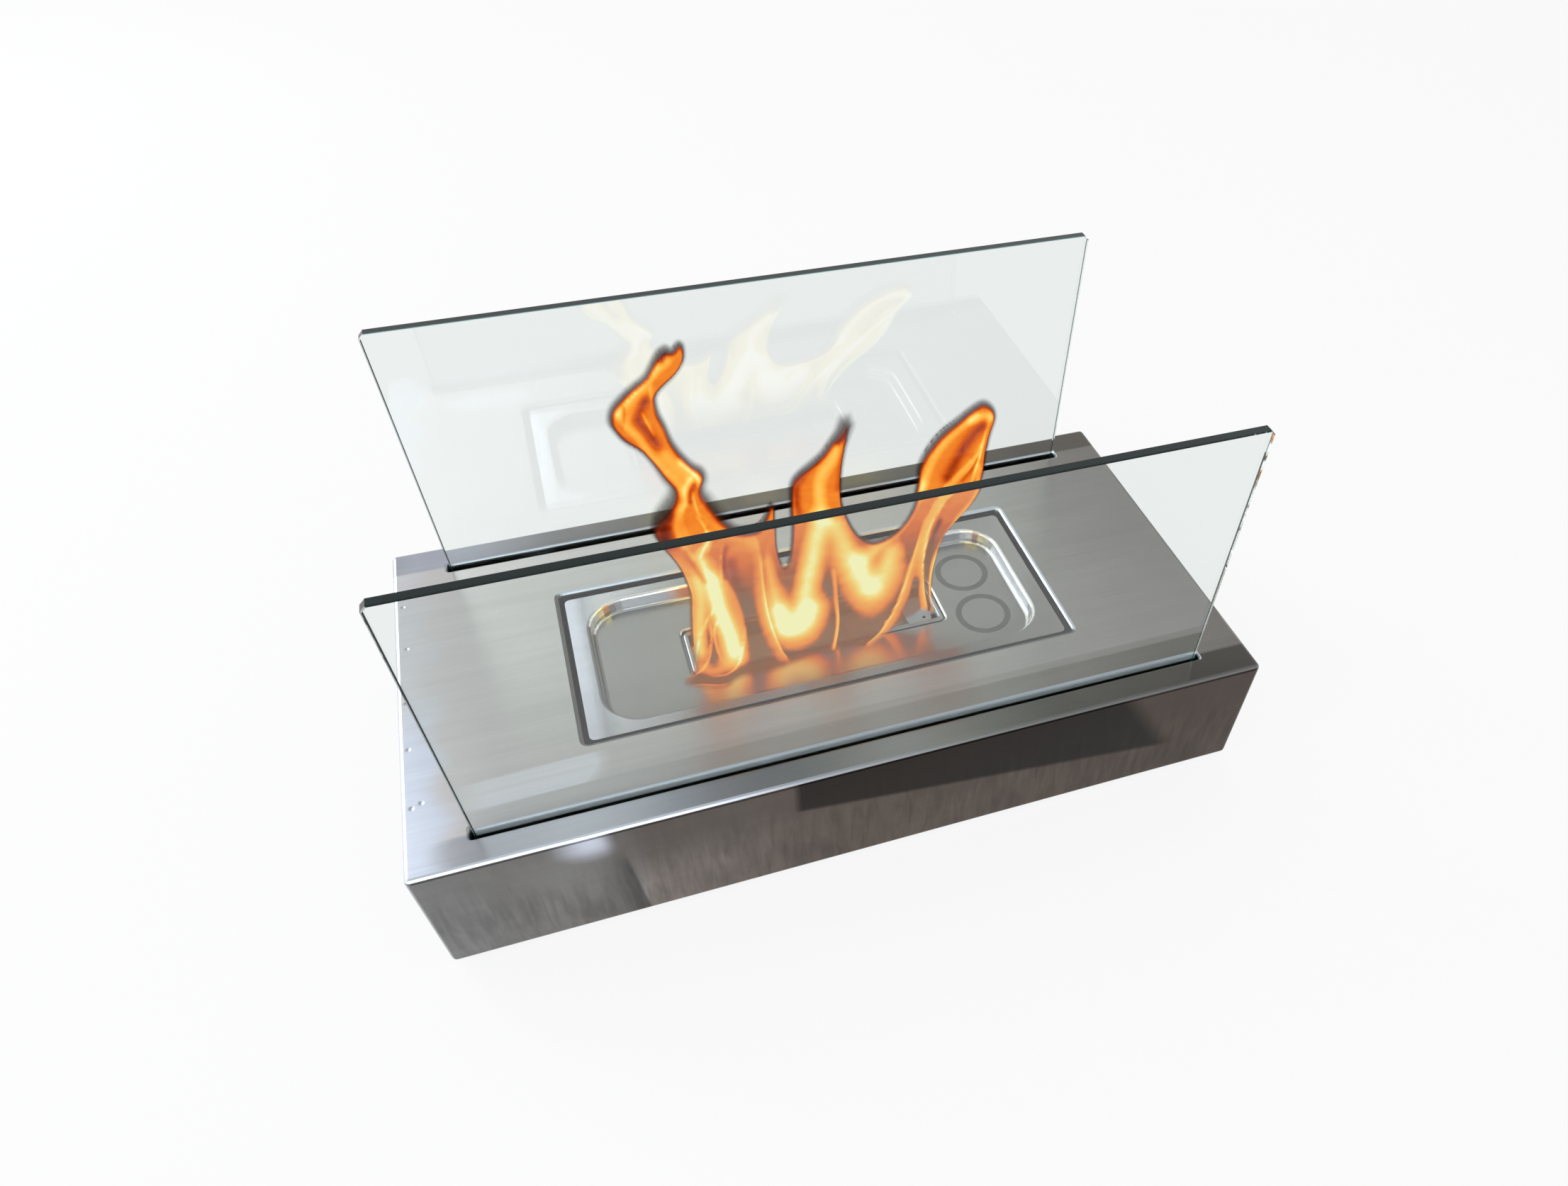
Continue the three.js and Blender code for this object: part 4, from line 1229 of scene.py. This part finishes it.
def makeFlameFinish(look):
    material, tree, surface = newFinish(
        "flameGlow", Emission_Strength=look["strength"], Base_Color=(0, 0, 0, 1),
        Roughness=1.0, Specular_IOR_Level=0.0,
    )
    rim, warmth, filament, rise, fade = (
        shader(tree, "ShaderNodeAttribute", attribute_name=name)["Fac"]
        for name in ("rimShare", "warmth", "filament", "rise", "fade")
    )
    drift = noise(vector(axes(tree, "Object")[0] * 120, rise * 2.6, 0.3), 1, 3, 0.5, 1.0)
    # Dark fringe, red rim, then the heat of the body
    body = spread(rim, 0.62, 1.4)
    heat = clamped((warmth + (drift - 0.5) * 0.15 + filament * 0.26) * body)
    colour = ramp(heat, look["colours"])
    # Between the tongues, near the slot, only a brown haze
    hazy = spread(rise, 1.8, 4.0, 1, 0) * spread(heat, 0.34, 0.56, 1, 0)
    colour = mixColours(hazy, colour, look["haze"])
    apart = shader(tree, "ShaderNodeLightPath")["Ray Length"]
    gain = mixColours(spread(apart, 30 * mm, 55 * mm), look["mirrored"], look["mirroredFar"])
    # The rear pane is nearer to the leaning top; steel close to the foot sees no ghost
    toPane = spread(apart + rise * (5.2 * mm), *look["ghostReach"])
    onBack = spread(axes(tree, "Normal")[1], -0.05, 0.05) * toPane
    ghost = tinted(ramp(heat, look["ghost"]), spread(rise, 0, 3, 0.35, 1))
    reflected = mixColours(onBack, tinted(colour, gain), ghost)
    feed(surface["Emission Color"], mixColours(mirrored(tree), colour, reflected))
    soft = most(spread(rim, 0.02, 1.0, 0, 0.92), spread(rim, 0.7, 1.05))
    thick = spread(rise, 0, 4, look["hazeShare"], 0.97)
    thick = thick + spread(warmth, 0.38, 0.75, smooth=False) * 0.5 + filament * 0.5
    # Only the side towards the eye glows, so that both skins don't add up
    near = 1 - shader(tree, "ShaderNodeNewGeometry")["Backfacing"]
    feed(surface["Alpha"], soft * clamped(thick) * fade * near)
    return material


def makeFlame(shape, finish):
    outline = smoothCurve(shape["outline"], 5)
    loop = grownLoop(outline, smokeWidth(outline, shape))
    loop[:, 1] = np.minimum(loop[:, 1], shape["highest"])
    step = shape["grid"]
    low, high = loop.min(0), loop.max(0)
    grid = []
    for i, z in enumerate(np.arange(low[1], high[1], step * 0.866)):
        xs = np.arange(low[0] + (i % 2) * step / 2, high[0], step)
        grid += [(x, z) for x in xs]
    grid = np.array(grid)
    crisp = crispLines(shape)
    near = KDTree(len(crisp))
    for i, point in enumerate(crisp):
        near.insert((*point, 0), i)
    near.balance()
    grid = np.vstack([grid[[near.find((*point, 0))[2] > step * 0.55 for point in grid]], crisp])
    grid = grid[insideLoop(grid, loop)]
    grid = grid[distanceToLoop(grid, loop) > step * 0.5]
    flat = [Vector(p) for p in np.vstack([loop, grid])]
    sheet, _, triangles, *_ = delaunay_2d_cdt(flat, [], [list(range(len(loop)))], 1, 1e-5)
    sheet = np.array([tuple(v) for v in sheet])
    rim = distanceToLoop(sheet, loop)
    onRim = rim < 1e-3
    x, z = sheet[:, 0], sheet[:, 1]
    upright = np.clip((z - shape["floorHeight"]) / shape["riseOver"], 0, 1)
    beyond = np.maximum(shape["floorHeight"] - z, 0)
    height = np.maximum(z, shape["floorHeight"])
    middle = shape["footY"] + shape["lean"] * height - shape["layForward"] * beyond
    middle += shape["sway"] * np.sin(x / 9 + z / 23) * upright
    # The dark fringe stays a thin skin, and the body swells inside it
    smoke = smokeWidth(sheet, shape)
    share = np.clip((rim - shape["thinFringe"] * smoke) / shape["roundOver"], 0, 1)
    swell = 0.75 + 0.25 * np.sin(x / 6.5 + 1.3) * np.cos(z / 17)
    bulge = np.sqrt(1 - (1 - share) ** 2)
    skin, floorSkin = (thickness * np.clip(rim, 0, 1) for thickness in shape["skin"])
    half = shape["thickness"] * swell * bulge * upright**0.7 + skin * upright
    rest = floorSkin * (1 - upright)
    front = np.stack([x, middle - half - rest, height + rest], 1)
    back = np.stack([x, middle + half + rest, height - rest], 1)
    backIndex = np.arange(len(sheet))
    backIndex[~onRim] = len(sheet) + np.arange((~onRim).sum())
    vertices = np.vstack([front, back[~onRim]]) * mm
    vertices[:, 2] += casingTop
    faces = []
    for a, b, c in triangles:
        if np.cross(sheet[b] - sheet[a], sheet[c] - sheet[a]) < 0:
            b, c = c, b
        faces.append((a, b, c))
        faces.append(tuple(int(backIndex[i]) for i in (a, c, b)))
    piece = meshPiece("flame", vertices, faces, finish)
    seen = sheet + np.outer(half, shape["drape"])
    strokes = [(a, b, heat * shape["glowHeat"], curve) for a, b, heat, curve in shape["glow"]]
    climb = np.clip((z - 22) / 28, 0, 1)
    cool, warm = shape["baseHeat"]
    base = cool + (warm - cool) * climb**2 * (3 - 2 * climb)
    glow = strokeField(seen, strokes, shape["glowSpread"])
    shade = strokeField(seen, shape["shade"])
    footness = np.clip(1 - z / shape["footHeight"], 0, 1)
    fields = {
        "rimShare": np.maximum(rim / smoke, 2 * footness),
        "warmth": np.maximum(base, glow) * (1 - shade),
        "filament": filamentField(seen, shape["filaments"]),
        "rise": z / 10,
        "fade": np.clip(rim / shape["footFade"], 0, 1) ** 1.3 * footness + 1 - footness,
    }
    for name, values in fields.items():
        values = np.concatenate([values, values[~onRim]])
        attribute = piece.data.attributes.new(name, "FLOAT", "POINT")
        attribute.data.foreach_set("value", values[: len(piece.data.vertices)].astype(np.float32))
    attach(piece, "burner")
    return piece


flameGlow = makeFlameFinish(flameLook)
flame = makeFlame(flameShape, flameGlow)
print("flame made:", len(flame.data.polygons), "faces")
